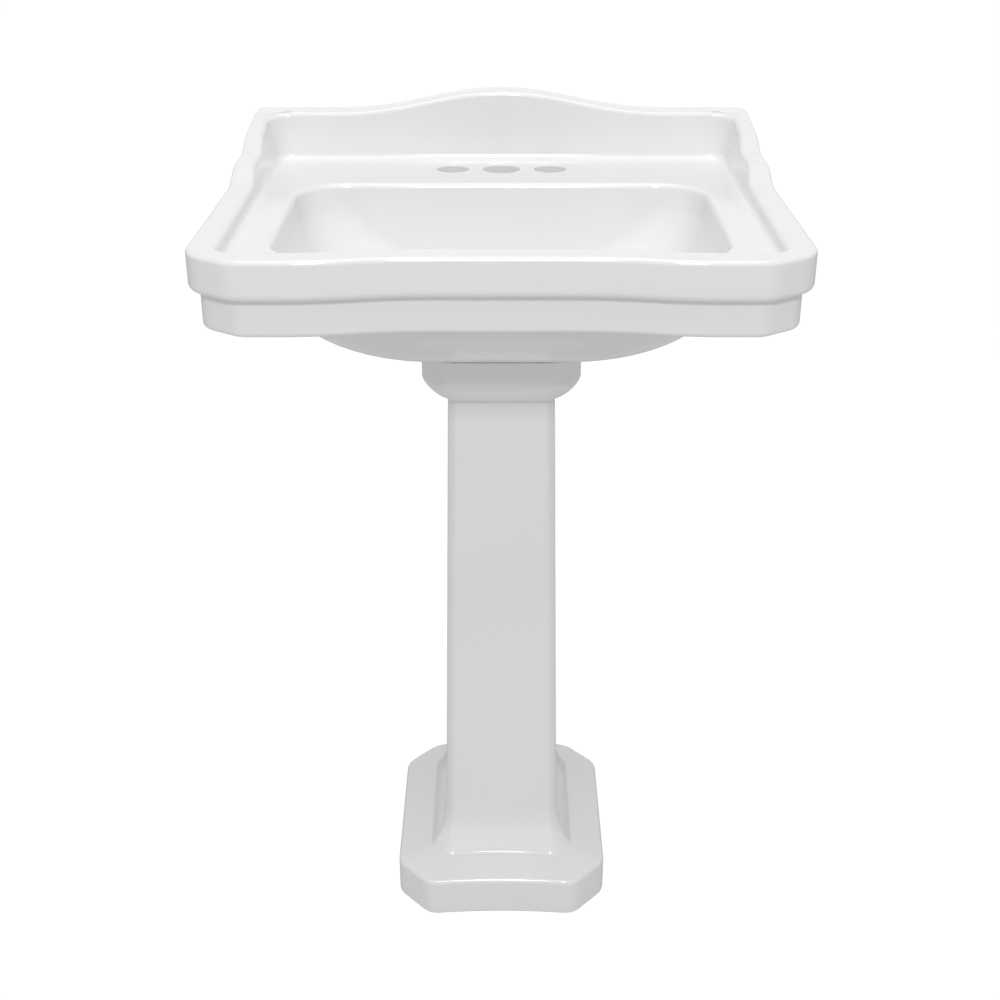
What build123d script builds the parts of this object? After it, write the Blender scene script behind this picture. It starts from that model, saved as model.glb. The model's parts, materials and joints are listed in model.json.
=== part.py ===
from build123d import *
import math
import os

# A pedestal basin in millimetres: a china basin with a raised back and stepped sides, on a china column.
# The origin is on the floor, midway across and midway from front to wall. +Z is up, +Y faces the wall.

# Basin, outside
basin_depth = 446.0          # front corners to the wall
basin_width_front = 535.0
basin_width_back = 525.0
deck_height = 790.0          # floor to the flat deck that carries the tap
rim_rise = 12.5              # the rim stands this much above the deck
apron_height = 70.5          # rim top to the apron's lower edge
front_setback = 12.0         # the middle of the front lies this far behind its corners
front_flat = 60.0            # half the straight middle stretch of the front
shoulder_inset = 77.5        # from the side to where the front is full depth again
corner_cut_across = 42.0     # the canted front corners
corner_cut_along = 28.0
corner_round = 34.0
back_corner_round = 8.0

# Basin, moulded edge of the apron
fascia_height = 36.5         # rim top to the underside of the overhanging band
fascia_overhang = 9.5        # the band stands proud of the lower apron
fascia_roll = 6.5            # round of the band's lower edge
fascia_cove = 2.5            # round of the hollow corner behind it
apron_edge_round = 5.0
rim_round = 4.0

# Basin, upper walls
side_wall_foot = 29.0        # rim thickness at the deck, on the sides
side_wall_draft = 10.0       # the inner face leans out, in degrees
front_rim_width = 28.0
back_slab = 31.0             # thickness of the raised back
deck_fillet = 6.0
pocket_corner_round = 14.0
low_tier_rise = 26.3         # heights of the stepped side walls above the deck
high_tier_rise = 41.5
side_back_rise = 45.5
back_end_rise = 48.8
back_crest_rise = 70.5
low_step_front = 206.5       # where each step of the side walls begins and ends, from the wall
low_step_back = 156.5
high_step_front = 130.5
high_step_back = 74.5
step_pull = 0.44             # how far each end of a step's S runs level, as a share of its length
crest_inset = 87.5           # the crest swells up from here, in from the side, to the centre line
crest_pull_low = 0.43
crest_pull_high = 0.36

# Basin, shell and bowl
shell = 12.0                 # general thickness of the china
side_deck = 37.5             # level deck between the side walls and the bowl
front_deck = 12.5            # level deck between the front rim and the bowl
bowl_back_from_wall = 140.5
bowl_corner_round = 48.0
bowl_edge_round = 6.0
bowl_depth = 118.0           # deck to the bowl's floor
bowl_fullness = 2.0          # 2 is an ellipse in section, more is squarer
bowl_front_fullness = 2.0
bowl_floor_wall = 14.0
drain_from_wall = 216.5
drain_flat = 45.0            # half size of the level floor around the drain

# Tap holes, a line of three
tap_spacing = 50.8
tap_row_from_wall = 77.0
tap_centre_hole = 37.6
tap_side_hole = 32.4
tap_hole_round = 1.5

# Overflow, a channel cast in the front wall and floor
overflow_hole = 22.0
overflow_drop = 30.0         # deck to the overflow's centre
overflow_width = 30.0
overflow_web = 4.0           # china on each side of the channel in the front wall, and the channel's depth
overflow_floor_web = 5.0     # the same in the bowl's floor

# Drain seat
drain_bore = 45.0
drain_recess = 66.0
drain_recess_depth = 3.0
drain_boss = 78.0
drain_boss_drop = 40.0       # bowl floor to the boss's lower face

# Wall fixing
wall_bolt_spacing = 203.2
wall_bolt_hole = 14.0
wall_bolt_drop = 36.0        # deck to the holes' centre

# Column
seat_drop = 5.0              # the seat under the bowl stands out by this much
column_wall = 11.0
column_foot_half = 62.6      # half widths at the foot and under the capital
column_neck_half = 53.5
column_foot_z = 108.0
capital_height = 48.0        # neck to the column's top
column_ahead = 53.0          # drain centre to the foot's front and back
column_behind = 103.0
column_cut = 8.0
column_round = 9.0
capital_flare = 25.0         # how far the capital stands out, and how tall its curve is
capital_flare_height = 25.0
capital_fullness = 1.4
plinth_half = 117.5
plinth_ahead = 108.0         # drain centre to the plinth's front and back
plinth_behind = 157.0
plinth_cut_across = 36.0
plinth_cut_along = 39.0
plinth_round = 20.0
plinth_height = 45.0
plinth_sag = 4.4             # the plinth's front is hollow by this much
ledge_rise = 12.0            # the sloping ledge between plinth and column
plinth_shoulder = 4.0        # round of the plinth's upper edge
capital_edge_round = 3.0
foot_flare = 16.5            # spread of the column's foot over the ledge
foot_fullness = 2.2          # how fast that spread dies out upwards
slot_half = 37.0             # half width of the opening down the column's back
seat_pad = 2.0               # rubber between the column and the basin

# Floor screws, through lugs inside the plinth
floor_screw_half = 62.0      # across, from the centre line
floor_screw_inset = 26.0     # from the plinth's back
floor_screw_hole = 7.0
lug_size = 34.0
lug_height = 10.0

# Seat pads
pad_width = 12.0
pad_slack = 0.1

# Drain
flange_diameter = 62.0
flange_height = 3.0
flange_seal_height = 2.0
tail_diameter = 38.0         # outside of the threaded tail
tail_bore = 32.0
tail_length = 81.0           # flange top to the tail's end
fit_gap = 0.1                # radial play of turned and screwed pieces
seal_gap = 0.3
window_width = 14.0          # overflow windows in the tail
web_height = 6.0             # the bridge inside the tail that carries the cartridge
web_thickness = 5.0
web_drop = 43.0              # flange top to the bridge's underside
gasket_height = 12.0
gasket_diameter = 60.0
gasket_tip = 50.0
washer_height = 1.5
washer_diameter = 56.0
locknut_height = 8.0
locknut_flats = 52.0

# Pop-up plug
plug_travel = 8.0
plug_seat_bore = 46.0        # shallow seat in the flange
plug_seat_depth = 1.5
throat = 36.0
throat_depth = 7.0
cap_diameter = 50.0
cap_height = 4.5
cap_boss = 30.0
cap_lip = 33.0
cap_lip_height = 1.0
plug_seal_height = 2.0
plug_seal_diameter = 44.0
spindle = 7.6
housing_diameter = 20.0
housing_bore = 13.0
housing_height = 28.0
housing_floor = 3.0
housing_lip = 2.0
foot_height = 3.0
spring_wire = 1.2
spring_turns = 5
spring_closed = 11.0         # length with the plug shut
cartridge_screw = 5.0
screw_head = 9.0
screw_head_height = 3.0

# Waste pipes
pipe_diameter = 31.75
pipe_wall = 1.4
tail_overlap = 10.0          # tailpiece inside the tail
tailpiece_length = 130.0
bend_diameter = 34.0
bend_wall = 2.0
bend_radius = 38.0
socket_diameter = 38.0
socket_depth = 30.0
outlet_socket_depth = 20.0
inlet_leg = 42.0             # straight run from the inlet socket to the bend
outlet_leg = 14.0
socket_cover = 20.0          # pipe end inside its socket
outlet_cover = 12.0
slip_washer_height = 3.0
slip_nut_diameter = 46.0
slip_nut_height = 26.0
slip_nut_lip = 3.0
slip_nut_ribs = 12
elbow_radius = 30.0
elbow_rise = 10.0            # union washer to the start of the elbow
cleanout_diameter = 24.0
cleanout_bore = 16.0
cleanout_drop = 8.0          # boss below the bend
cleanout_gasket_height = 2.0
cleanout_head = 6.0
wall_flange_diameter = 72.0
wall_flange_depth = 12.0
wall_flange_wall = 1.5

half_depth = basin_depth / 2
half_front = basin_width_front / 2
half_back = basin_width_back / 2
rim_top = deck_height + rim_rise
apron_bottom = rim_top - apron_height
band_bottom = rim_top - fascia_height
floor_z = deck_height - bowl_depth
seat_z = floor_z - drain_recess_depth
boss_bottom = floor_z - drain_boss_drop
pedestal_seat = floor_z - bowl_floor_wall - seat_drop
column_top = pedestal_seat - seat_pad
column_neck_z = column_top - capital_height
front_shoulder = half_front - shoulder_inset
crest_half_width = half_back - crest_inset
tap_row_y = half_depth - tap_row_from_wall
low_tier_start = half_depth - low_step_front
low_tier_end = half_depth - low_step_back
high_tier_start = half_depth - high_step_front
high_tier_end = half_depth - high_step_back
bowl_width = basin_width_front - 2 * (side_wall_foot + side_deck)
bowl_front = -half_depth + front_setback + front_rim_width + front_deck
bowl_back = half_depth - bowl_back_from_wall
drain_y = half_depth - drain_from_wall
column_foot_front = drain_y - column_ahead
column_foot_back = drain_y + column_behind
plinth_front = drain_y - plinth_ahead
plinth_back = drain_y + plinth_behind

os.makedirs("parts", exist_ok=True)


def swell(share, fullness):
    # Distance left to run, 1 down to 0, along a superellipse at this share of its depth.
    return (1 - share**fullness) ** (1 / fullness)


def front_edge(shift, end):
    # Right half of the basin's front line, moved back by shift and run out to end.
    middle = -half_depth + front_setback + shift
    corner = -half_depth + shift
    reach = front_shoulder - front_flat
    radius = (reach**2 + front_setback**2) / (4 * front_setback)
    turn = 2 * math.degrees(math.atan2(front_setback, reach))
    with BuildLine() as edge:
        Line((0, middle), (front_flat, middle))
        first = JernArc((front_flat, middle), (1, 0), radius, -turn)
        JernArc(first @ 1, first % 1, radius, turn)
        Line((front_shoulder, corner), (end, corner))
    return edge.line


def basin_plan(inset, back_inset):
    # The basin's outline seen from above, inset at the front and sides, and by its own amount at the wall.
    with BuildSketch() as plan:
        with BuildLine():
            add(front_edge(0, half_front - corner_cut_across))
            Polyline(
                (half_front - corner_cut_across, -half_depth),
                (half_front, -half_depth + corner_cut_along),
                (half_back, half_depth + inset - back_inset),
                (0, half_depth + inset - back_inset),
            )
            mirror(about=Plane.YZ)
        make_face()
        corners = plan.vertices().filter_by(lambda v: abs(v.X) > front_shoulder)
        fillet(corners.filter_by(lambda v: v.Y < 0), radius=corner_round)
        fillet(corners.filter_by(lambda v: v.Y > 0), radius=back_corner_round)
        if inset:
            offset(amount=-inset, kind=Kind.INTERSECTION)
    return plan.sketch


def s_step(y_low, z_low, y_high, z_high):
    # One step of the side walls, level at both ends.
    pull = step_pull * (y_high - y_low)
    return Bezier((y_low, z_low), (y_low + pull, z_low), (y_high - pull, z_high), (y_high, z_high))


# Hollow above the deck, between the walls
pocket_top = deck_height + back_crest_rise + 10
pocket_half = half_front - side_wall_foot
lean = (pocket_top - deck_height) * math.tan(math.radians(side_wall_draft))
slab_face = half_depth - back_slab
with BuildPart() as deck_pocket:
    with BuildSketch(Plane.XZ.offset(-slab_face)):
        with BuildLine():
            Polyline(
                (-pocket_half, deck_height),
                (pocket_half, deck_height),
                (pocket_half + lean, pocket_top),
                (-pocket_half - lean, pocket_top),
                close=True,
            )
        make_face()
    extrude(amount=basin_depth)
    with BuildSketch(Plane.XY.offset(deck_height)):
        with BuildLine():
            add(front_edge(front_rim_width, half_front))
            Polyline((half_front, -half_depth + front_rim_width), (half_front, slab_face), (0, slab_face))
            mirror(about=Plane.YZ)
        make_face()
    extrude(amount=pocket_top - deck_height, mode=Mode.INTERSECT)
    fillet(deck_pocket.edges().filter_by(lambda e: abs(e.tangent_at(0.5).Z) > 0.9), radius=pocket_corner_round)
    fillet(deck_pocket.faces().sort_by(Axis.Z)[0].edges(), radius=deck_fillet)


# Region above the stepped side walls and in front of the raised back
side_top = pocket_top + 5
with BuildPart() as above_sides:
    with BuildSketch(Plane.YZ):
        with BuildLine():
            Line((-half_depth - 5, rim_top), (low_tier_start, rim_top))
            s_step(low_tier_start, rim_top, low_tier_end, deck_height + low_tier_rise)
            Line((low_tier_end, deck_height + low_tier_rise), (high_tier_start, deck_height + low_tier_rise))
            s_step(high_tier_start, deck_height + low_tier_rise, high_tier_end, deck_height + high_tier_rise)
            Polyline(
                (high_tier_end, deck_height + high_tier_rise),
                (slab_face, deck_height + side_back_rise),
                (slab_face, side_top),
                (-half_depth - 5, side_top),
                (-half_depth - 5, rim_top),
            )
        make_face()
    extrude(amount=half_front + 5, both=True)

# Region above the swept top of the raised back
back_end_z = deck_height + back_end_rise
back_crest_z = deck_height + back_crest_rise
with BuildPart() as above_back:
    with BuildSketch(Plane.XZ):
        with BuildLine():
            Bezier(
                (crest_half_width, back_end_z),
                (crest_half_width * (1 - crest_pull_low), back_end_z),
                (crest_half_width * crest_pull_high, back_crest_z),
                (0, back_crest_z),
            )
            Polyline(
                (crest_half_width, back_end_z),
                (half_front + 5, back_end_z),
                (half_front + 5, side_top),
                (0, side_top),
            )
            mirror(about=Plane.YZ)
        make_face()
    extrude(amount=half_depth + 5, both=True)


def bowl_section(depth_share, growth, front_fullness):
    # The bowl's plan at a share of its depth, grown outwards by growth.
    across = swell(depth_share, bowl_fullness)
    ahead = swell(depth_share, front_fullness)
    half = drain_flat + (bowl_width / 2 - drain_flat) * across + growth
    front = drain_y - drain_flat + (bowl_front - drain_y + drain_flat) * ahead - growth
    back = drain_y + drain_flat + (bowl_back - drain_y - drain_flat) * across + growth
    corner = drain_flat - 1 + (bowl_corner_round - drain_flat + 1) * across + growth
    with BuildSketch() as plan:
        with Locations((0, (front + back) / 2)):
            RectangleRounded(2 * half, back - front, corner)
    return plan.sketch


bowl_angles = (0, 14, 28, 42, 56, 68, 80, 90)
with BuildPart() as bowl_space:
    for angle in bowl_angles:
        share = math.sin(math.radians(angle)) ** (2 / bowl_fullness)
        with BuildSketch(Plane.XY.offset(deck_height - bowl_depth * share)):
            add(bowl_section(share, 0, bowl_front_fullness))
    loft()

# Outside of the bowl, under the deck
with BuildPart() as bowl_outside:
    for angle in bowl_angles:
        share = math.sin(math.radians(angle)) ** (2 / bowl_fullness)
        with BuildSketch(Plane.XY.offset(deck_height - (bowl_depth + bowl_floor_wall) * share)):
            add(bowl_section(share, shell, bowl_front_fullness))
    loft()
    split(bisect_by=Plane.XY.offset(deck_height - shell / 2), keep=Keep.BOTTOM)

# Overflow channel, inside the bowl's front wall and floor
floor_front = drain_y - drain_flat
front_reach = floor_front - bowl_front
overflow_z = deck_height - overflow_drop
channel_top = overflow_z + overflow_hole / 2
with BuildPart() as overflow_channel:
    with BuildSketch(Plane.YZ):
        with Locations((floor_front, deck_height)):
            Ellipse(front_reach + 2 * overflow_web, bowl_depth + 2 * overflow_floor_web)
            Ellipse(front_reach + overflow_web, bowl_depth + overflow_floor_web, mode=Mode.SUBTRACT)
            Rectangle(basin_depth, basin_depth, align=(Align.MIN, Align.CENTER), mode=Mode.SUBTRACT)
        with Locations((floor_front, channel_top)):
            Rectangle(basin_depth, basin_depth, align=(Align.MAX, Align.MIN), mode=Mode.SUBTRACT)
        with Locations((floor_front, floor_z - 2 * overflow_floor_web)):
            Rectangle(drain_flat, overflow_floor_web, align=(Align.MIN, Align.MIN))
    extrude(amount=overflow_width / 2, both=True)
    with BuildSketch(Plane.XZ.offset(overflow_web / 2 - bowl_front)):
        with Locations((0, overflow_z)):
            Circle(overflow_hole / 2)
    extrude(amount=-2 * shell)

# Seat that rests on the column, open at the back like the column
capital_half = column_neck_half + capital_flare
capital_front = column_foot_front + column_foot_half - capital_half
with BuildPart() as column_seat:
    with BuildSketch(Plane.XY.offset(pedestal_seat)):
        with Locations((0, capital_front + 2)):
            Rectangle(2 * capital_half - 4, bowl_back - shell - capital_front, align=(Align.CENTER, Align.MIN))
        with Locations((0, capital_front + 16)):
            Rectangle(2 * capital_half - 32, basin_depth, align=(Align.CENTER, Align.MIN), mode=Mode.SUBTRACT)
    extrude(amount=bowl_floor_wall + shell)

with BuildPart() as basin:
    with BuildSketch(Plane.XY.offset(band_bottom)):
        add(basin_plan(0, 0))
    extrude(amount=side_top - band_bottom)
    band_foot = basin.faces().sort_by(Axis.Z)[0].edges().filter_by(lambda e: e.center().Y < half_depth - 0.1)
    fillet(band_foot, radius=fascia_roll)
    with BuildSketch(Plane.XY.offset(apron_bottom)):
        add(basin_plan(fascia_overhang, 0))
    extrude(amount=band_bottom + fascia_roll - apron_bottom)
    hollow_corner = basin.edges(Select.NEW).filter_by(
        lambda e: abs(e.center().Z - band_bottom) < 0.1 and e.center().Y < half_depth - 0.1
    )
    fillet(hollow_corner, radius=fascia_cove)
    fillet(basin.faces().sort_by(Axis.Z)[0].outer_wire().edges(), radius=apron_edge_round)
    add(above_sides.part, mode=Mode.SUBTRACT)
    add(above_back.part, mode=Mode.SUBTRACT)
    outer_top = basin.edges().filter_by(
        lambda e: e.bounding_box().min.Z > rim_top - 0.1
        and e.center().Y < slab_face - 1
        and (abs(e.center().X) > 1 or e.center().Y < -half_depth + front_setback + 1)
    )
    fillet(outer_top, radius=rim_round)
    add(deck_pocket.part, mode=Mode.SUBTRACT)
    with BuildSketch(Plane.XY.offset(apron_bottom)):
        add(basin_plan(fascia_overhang + shell, shell))
    extrude(amount=deck_height - shell - apron_bottom, mode=Mode.SUBTRACT)
    add(bowl_outside.part)
    add(column_seat.part)
    with BuildSketch(Plane.XY.offset(boss_bottom)):
        with Locations((0, drain_y)):
            Circle(drain_boss / 2)
    extrude(amount=floor_z - boss_bottom)
    add(bowl_space.part, mode=Mode.SUBTRACT)
    add(overflow_channel.part, mode=Mode.SUBTRACT)
    with Locations((0, drain_y, floor_z)):
        CounterBoreHole(drain_bore / 2, drain_recess / 2, drain_recess_depth, drain_boss_drop)
    with Locations((0, tap_row_y, deck_height)):
        Hole(tap_centre_hole / 2, depth=2 * shell)
        with Locations((-tap_spacing, 0), (tap_spacing, 0)):
            Hole(tap_side_hole / 2, depth=2 * shell)
    with BuildSketch(Plane.XZ.offset(-half_depth)):
        with Locations((0, deck_height - wall_bolt_drop)):
            with GridLocations(wall_bolt_spacing, 1, 2, 1):
                Circle(wall_bolt_hole / 2)
    extrude(amount=3 * shell, mode=Mode.SUBTRACT)
    back_top = basin.edges().filter_by(
        lambda e: e.center().Y > slab_face - 1 and e.center().Z > back_end_z - 1 and e.length > 2 * back_slab
    )
    fillet(back_top, radius=rim_round / 2)
    tap_rims = basin.edges().filter_by(GeomType.CIRCLE).filter_by(
        lambda e: abs(e.center().Z - deck_height) < 0.1 and abs(e.center().Y - tap_row_y) < 1
    )
    fillet(tap_rims, radius=tap_hole_round)
    bowl_rim = basin.edges().filter_by(
        lambda e: abs(e.center().Z - deck_height) < 0.1
        and bowl_front - 1 < e.center().Y < bowl_back + 1
        and abs(e.center().X) < bowl_width / 2 + 1
    )
    fillet(bowl_rim, radius=bowl_edge_round)
basin.part.label = "basin"
export_step(basin.part, "parts/basin.step")


def column_plan(half, front, back, cut_across, cut_along, rounding, sag):
    # Canted rectangle with a hollow front line, symmetric left to right.
    with BuildSketch() as plan:
        with BuildLine():
            ThreePointArc((-(half - cut_across), front), (0, front + sag), (half - cut_across, front))
            Polyline(
                (half - cut_across, front),
                (half, front + cut_along),
                (half, back - cut_along),
                (half - cut_across, back),
                (-(half - cut_across), back),
                (-half, back - cut_along),
                (-half, front + cut_along),
                (-(half - cut_across), front),
            )
        make_face()
        fillet(plan.vertices(), radius=rounding)
    return plan.sketch


def shaft_plan(z, growth, sag=0.01):
    # The column's plan at a height between foot and neck, grown outwards, with the middle of its front held back.
    share = (z - column_foot_z) / (column_neck_z - column_foot_z)
    taper = share * (column_foot_half - column_neck_half)
    half = column_foot_half - taper + growth
    front = column_foot_front + taper - growth - sag
    back = column_foot_back - taper + growth
    spread = 0.6 * max(growth, 0)
    cut = column_cut + spread
    return column_plan(half, front, back, cut, cut, column_round + spread, sag)


def inner_plan(z, growth, sag=0.01):
    # The hollow inside the column at a height, one wall in from the skin.
    return shaft_plan(z, growth - column_wall, sag)


def flare_sag(grown):
    # The hollow of the plinth's front dies out up the foot's flare.
    return max(plinth_sag * grown / foot_flare, 0.01)


flare_z = plinth_height + ledge_rise
capital_z = column_neck_z + capital_flare_height
screw_y = plinth_back - floor_screw_inset
flare_shares = (0, 0.12, 0.26, 0.45, 0.7, 1)
with BuildPart() as column_skin:
    with BuildSketch():
        add(column_plan(plinth_half, plinth_front, plinth_back, plinth_cut_across, plinth_cut_along,
                        plinth_round, plinth_sag))
    extrude(amount=plinth_height)
    with BuildSketch(Plane.XY.offset(plinth_height)):
        add(column_plan(plinth_half, plinth_front, plinth_back, plinth_cut_across, plinth_cut_along,
                        plinth_round, plinth_sag))
    with BuildSketch(Plane.XY.offset(flare_z)):
        add(shaft_plan(flare_z, foot_flare + 1, plinth_sag))
    loft(ruled=True)
    shoulder = column_skin.edges().filter_by(lambda e: abs(e.center().Z - plinth_height) < 0.1)
    fillet(shoulder, radius=plinth_shoulder)
    for share in flare_shares:
        rise = share * (column_foot_z - flare_z)
        grown = foot_flare * (1 - share) ** foot_fullness
        with BuildSketch(Plane.XY.offset(flare_z + rise)):
            add(shaft_plan(flare_z + rise, grown, flare_sag(grown)))
    loft()
    for z in (column_foot_z, column_neck_z):
        with BuildSketch(Plane.XY.offset(z)):
            add(shaft_plan(z, 0))
    loft()
    for angle in (0, 20, 40, 60, 90):
        grown = capital_flare * math.sin(math.radians(angle)) ** (2 / capital_fullness)
        rise = capital_flare_height * (1 - math.cos(math.radians(angle)) ** (2 / capital_fullness))
        with BuildSketch(Plane.XY.offset(column_neck_z + rise)):
            add(shaft_plan(column_neck_z, grown))
    loft()
    with BuildSketch(Plane.XY.offset(capital_z)):
        add(shaft_plan(column_neck_z, capital_flare))
    extrude(amount=column_top - capital_z)
    fillet(column_skin.faces().sort_by(Axis.Z)[-1].edges(), radius=capital_edge_round)

with BuildPart() as column_space:
    with BuildSketch():
        add(column_plan(plinth_half - column_wall, plinth_front + column_wall, plinth_back - column_wall,
                        plinth_cut_across, plinth_cut_along, plinth_round, plinth_sag))
    extrude(amount=plinth_height - column_wall)
    with BuildSketch(Plane.XY.offset(plinth_height - column_wall)):
        add(column_plan(plinth_half - column_wall, plinth_front + column_wall, plinth_back - column_wall,
                        plinth_cut_across, plinth_cut_along, plinth_round, plinth_sag))
    with BuildSketch(Plane.XY.offset(flare_z - column_wall)):
        add(inner_plan(flare_z, foot_flare + 1, plinth_sag))
    loft(ruled=True)
    for share in flare_shares:
        rise = share * (column_foot_z - flare_z + column_wall)
        grown = foot_flare * (1 - share) ** foot_fullness
        with BuildSketch(Plane.XY.offset(flare_z - column_wall + rise)):
            add(inner_plan(flare_z - column_wall + rise, grown, flare_sag(grown)))
    loft()
    for z in (column_foot_z, column_neck_z):
        with BuildSketch(Plane.XY.offset(z)):
            add(inner_plan(z, 0))
    loft(ruled=True)
    with BuildSketch(Plane.XY.offset(column_neck_z)):
        add(inner_plan(column_neck_z, 0))
    with BuildSketch(Plane.XY.offset(capital_z)):
        add(inner_plan(column_neck_z, capital_flare))
    loft(ruled=True)
    with BuildSketch(Plane.XY.offset(capital_z)):
        add(inner_plan(column_neck_z, capital_flare))
    extrude(amount=column_top - capital_z)

with BuildPart() as pedestal:
    add(column_skin.part)
    add(column_space.part, mode=Mode.SUBTRACT)
    with BuildSketch():
        with Locations((0, column_foot_back - 2 * column_wall)):
            Rectangle(2 * slot_half, basin_depth, align=(Align.CENTER, Align.MIN))
    extrude(amount=column_top, mode=Mode.SUBTRACT)
    with BuildSketch():
        with Locations((-floor_screw_half, screw_y), (floor_screw_half, screw_y)):
            Rectangle(lug_size, 2 * (plinth_back - column_wall / 2 - screw_y))
    extrude(amount=lug_height)
    with Locations((-floor_screw_half, screw_y, lug_height), (floor_screw_half, screw_y, lug_height)):
        Hole(floor_screw_hole / 2, depth=lug_height)
pedestal.part.label = "pedestal"
export_step(pedestal.part, "parts/pedestal.step")

# Rubber strips between the column's top and the basin, one along the front and one on each side
with BuildPart() as seat_pads:
    pad_back = bowl_back - 2 * pad_width
    pad_side = capital_half - column_wall / 2 - pad_width / 4
    with BuildSketch(Plane.XY.offset(column_top + pad_slack)):
        with Locations((0, capital_front + column_wall - pad_width / 4)):
            Rectangle(capital_half, pad_width / 2)
        with Locations((-pad_side, (capital_front + pad_back) / 2), (pad_side, (capital_front + pad_back) / 2)):
            Rectangle(pad_width / 2, (pad_back - capital_front) / 2)
    extrude(amount=seat_pad - 2 * pad_slack)
seat_pads.part.label = "seat_pads"
export_step(seat_pads.part, "parts/seat_pads.step")

# Drain, around a vertical line through the bowl's floor
flange_foot = seat_z + flange_seal_height
flange_top = flange_foot + flange_height
tail_end = flange_top - tail_length
web_foot = flange_top - web_drop
web_top = web_foot + web_height
overflow_low = floor_z - 2 * overflow_floor_web
housing_top = web_top + housing_height


def drain_plane(z):
    # Level plane at a height, centred on the drain.
    return Plane((0, drain_y, z))


def ring(outer, inner):
    # Flat ring, by its two diameters.
    with BuildSketch() as band:
        Circle(outer / 2)
        Circle(inner / 2, mode=Mode.SUBTRACT)
    return band.sketch


with BuildPart() as drain_body:
    with BuildSketch(drain_plane(flange_foot)):
        Circle(flange_diameter / 2)
    extrude(amount=flange_height)
    fillet(drain_body.faces().sort_by(Axis.Z)[-1].edges(), radius=flange_height / 3)
    with BuildSketch(drain_plane(tail_end)):
        Circle(tail_diameter / 2)
    extrude(amount=tail_length - flange_height)
    with Locations((0, drain_y, flange_top)):
        CounterBoreHole(throat / 2, plug_seat_bore / 2, plug_seat_depth, throat_depth)
        Hole(tail_bore / 2, depth=tail_length)
    with BuildSketch(drain_plane(web_foot)):
        Rectangle(tail_bore + fit_gap, web_thickness)
        Rectangle(web_thickness, tail_bore + fit_gap)
        Circle(housing_diameter / 2)
    extrude(amount=web_height)
    with Locations((0, drain_y, web_top)):
        Hole(cartridge_screw / 2 + fit_gap, depth=web_height)
    with BuildSketch(drain_plane(overflow_low)):
        Rectangle(window_width, tail_diameter)
        Rectangle(tail_diameter, window_width)
        Circle(tail_bore / 2 - fit_gap, mode=Mode.SUBTRACT)
    extrude(amount=overflow_floor_web, mode=Mode.SUBTRACT)
drain_body.part.label = "drain_body"
export_step(drain_body.part, "parts/drain_body.step")

with BuildPart() as flange_seal:
    with BuildSketch(drain_plane(seat_z)):
        add(ring(flange_diameter - 2, tail_diameter + 2 * seal_gap))
    extrude(amount=flange_seal_height)
flange_seal.part.label = "flange_seal"
export_step(flange_seal.part, "parts/flange_seal.step")

gasket_foot = boss_bottom - gasket_height
with BuildPart() as basin_gasket:
    with BuildSketch(drain_plane(gasket_foot)):
        Circle(gasket_tip / 2)
    with BuildSketch(drain_plane(boss_bottom)):
        Circle(gasket_diameter / 2)
    loft(ruled=True)
    with Locations((0, drain_y, boss_bottom)):
        Hole(tail_diameter / 2 + seal_gap, depth=gasket_height)
basin_gasket.part.label = "basin_gasket"
export_step(basin_gasket.part, "parts/basin_gasket.step")

washer_foot = gasket_foot - washer_height
with BuildPart() as friction_washer:
    with BuildSketch(drain_plane(washer_foot)):
        add(ring(washer_diameter, tail_diameter + 2 * seal_gap))
    extrude(amount=washer_height)
friction_washer.part.label = "friction_washer"
export_step(friction_washer.part, "parts/friction_washer.step")

locknut_foot = washer_foot - locknut_height
with BuildPart() as locknut:
    with BuildSketch(drain_plane(locknut_foot)):
        RegularPolygon(locknut_flats / 2, 6, major_radius=False)
        Circle(tail_diameter / 2 + fit_gap, mode=Mode.SUBTRACT)
    extrude(amount=locknut_height)
    chamfer(locknut.edges().filter_by(Axis.Z, reverse=True).filter_by(GeomType.LINE), length=1)
locknut.part.label = "locknut"
export_step(locknut.part, "parts/locknut.step")

# Pop-up cartridge and plug
with BuildPart() as cartridge_housing:
    with BuildSketch(drain_plane(web_top)):
        Circle(housing_diameter / 2)
    extrude(amount=housing_height)
    with Locations((0, drain_y, web_top + housing_floor)):
        with Locations((0, 0, housing_height - housing_floor - housing_lip)):
            Hole(housing_bore / 2, depth=housing_height - housing_floor - housing_lip)
    with Locations((0, drain_y, housing_top)):
        Hole(spindle / 2 + fit_gap, depth=2 * housing_lip)
    with Locations((0, drain_y, web_top + housing_floor)):
        Hole(cartridge_screw / 2 + fit_gap, depth=housing_floor)
cartridge_housing.part.label = "cartridge_housing"
export_step(cartridge_housing.part, "parts/cartridge_housing.step")

screw_tip = web_top + housing_floor - fit_gap
with BuildPart() as cartridge_screw_part:
    with BuildSketch(drain_plane(web_foot - screw_head_height)):
        Circle(screw_head / 2)
    extrude(amount=screw_head_height)
    fillet(cartridge_screw_part.faces().sort_by(Axis.Z)[0].edges(), radius=screw_head_height / 3)
    with BuildSketch(drain_plane(web_foot)):
        Circle(cartridge_screw / 2)
    extrude(amount=screw_tip - web_foot)
    with BuildSketch(drain_plane(web_foot - screw_head_height)):
        Rectangle(screw_head, screw_head_height / 2)
    extrude(amount=screw_head_height / 2, mode=Mode.SUBTRACT)
cartridge_screw_part.part.label = "cartridge_screw"
export_step(cartridge_screw_part.part, "parts/cartridge_screw.step")

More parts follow.
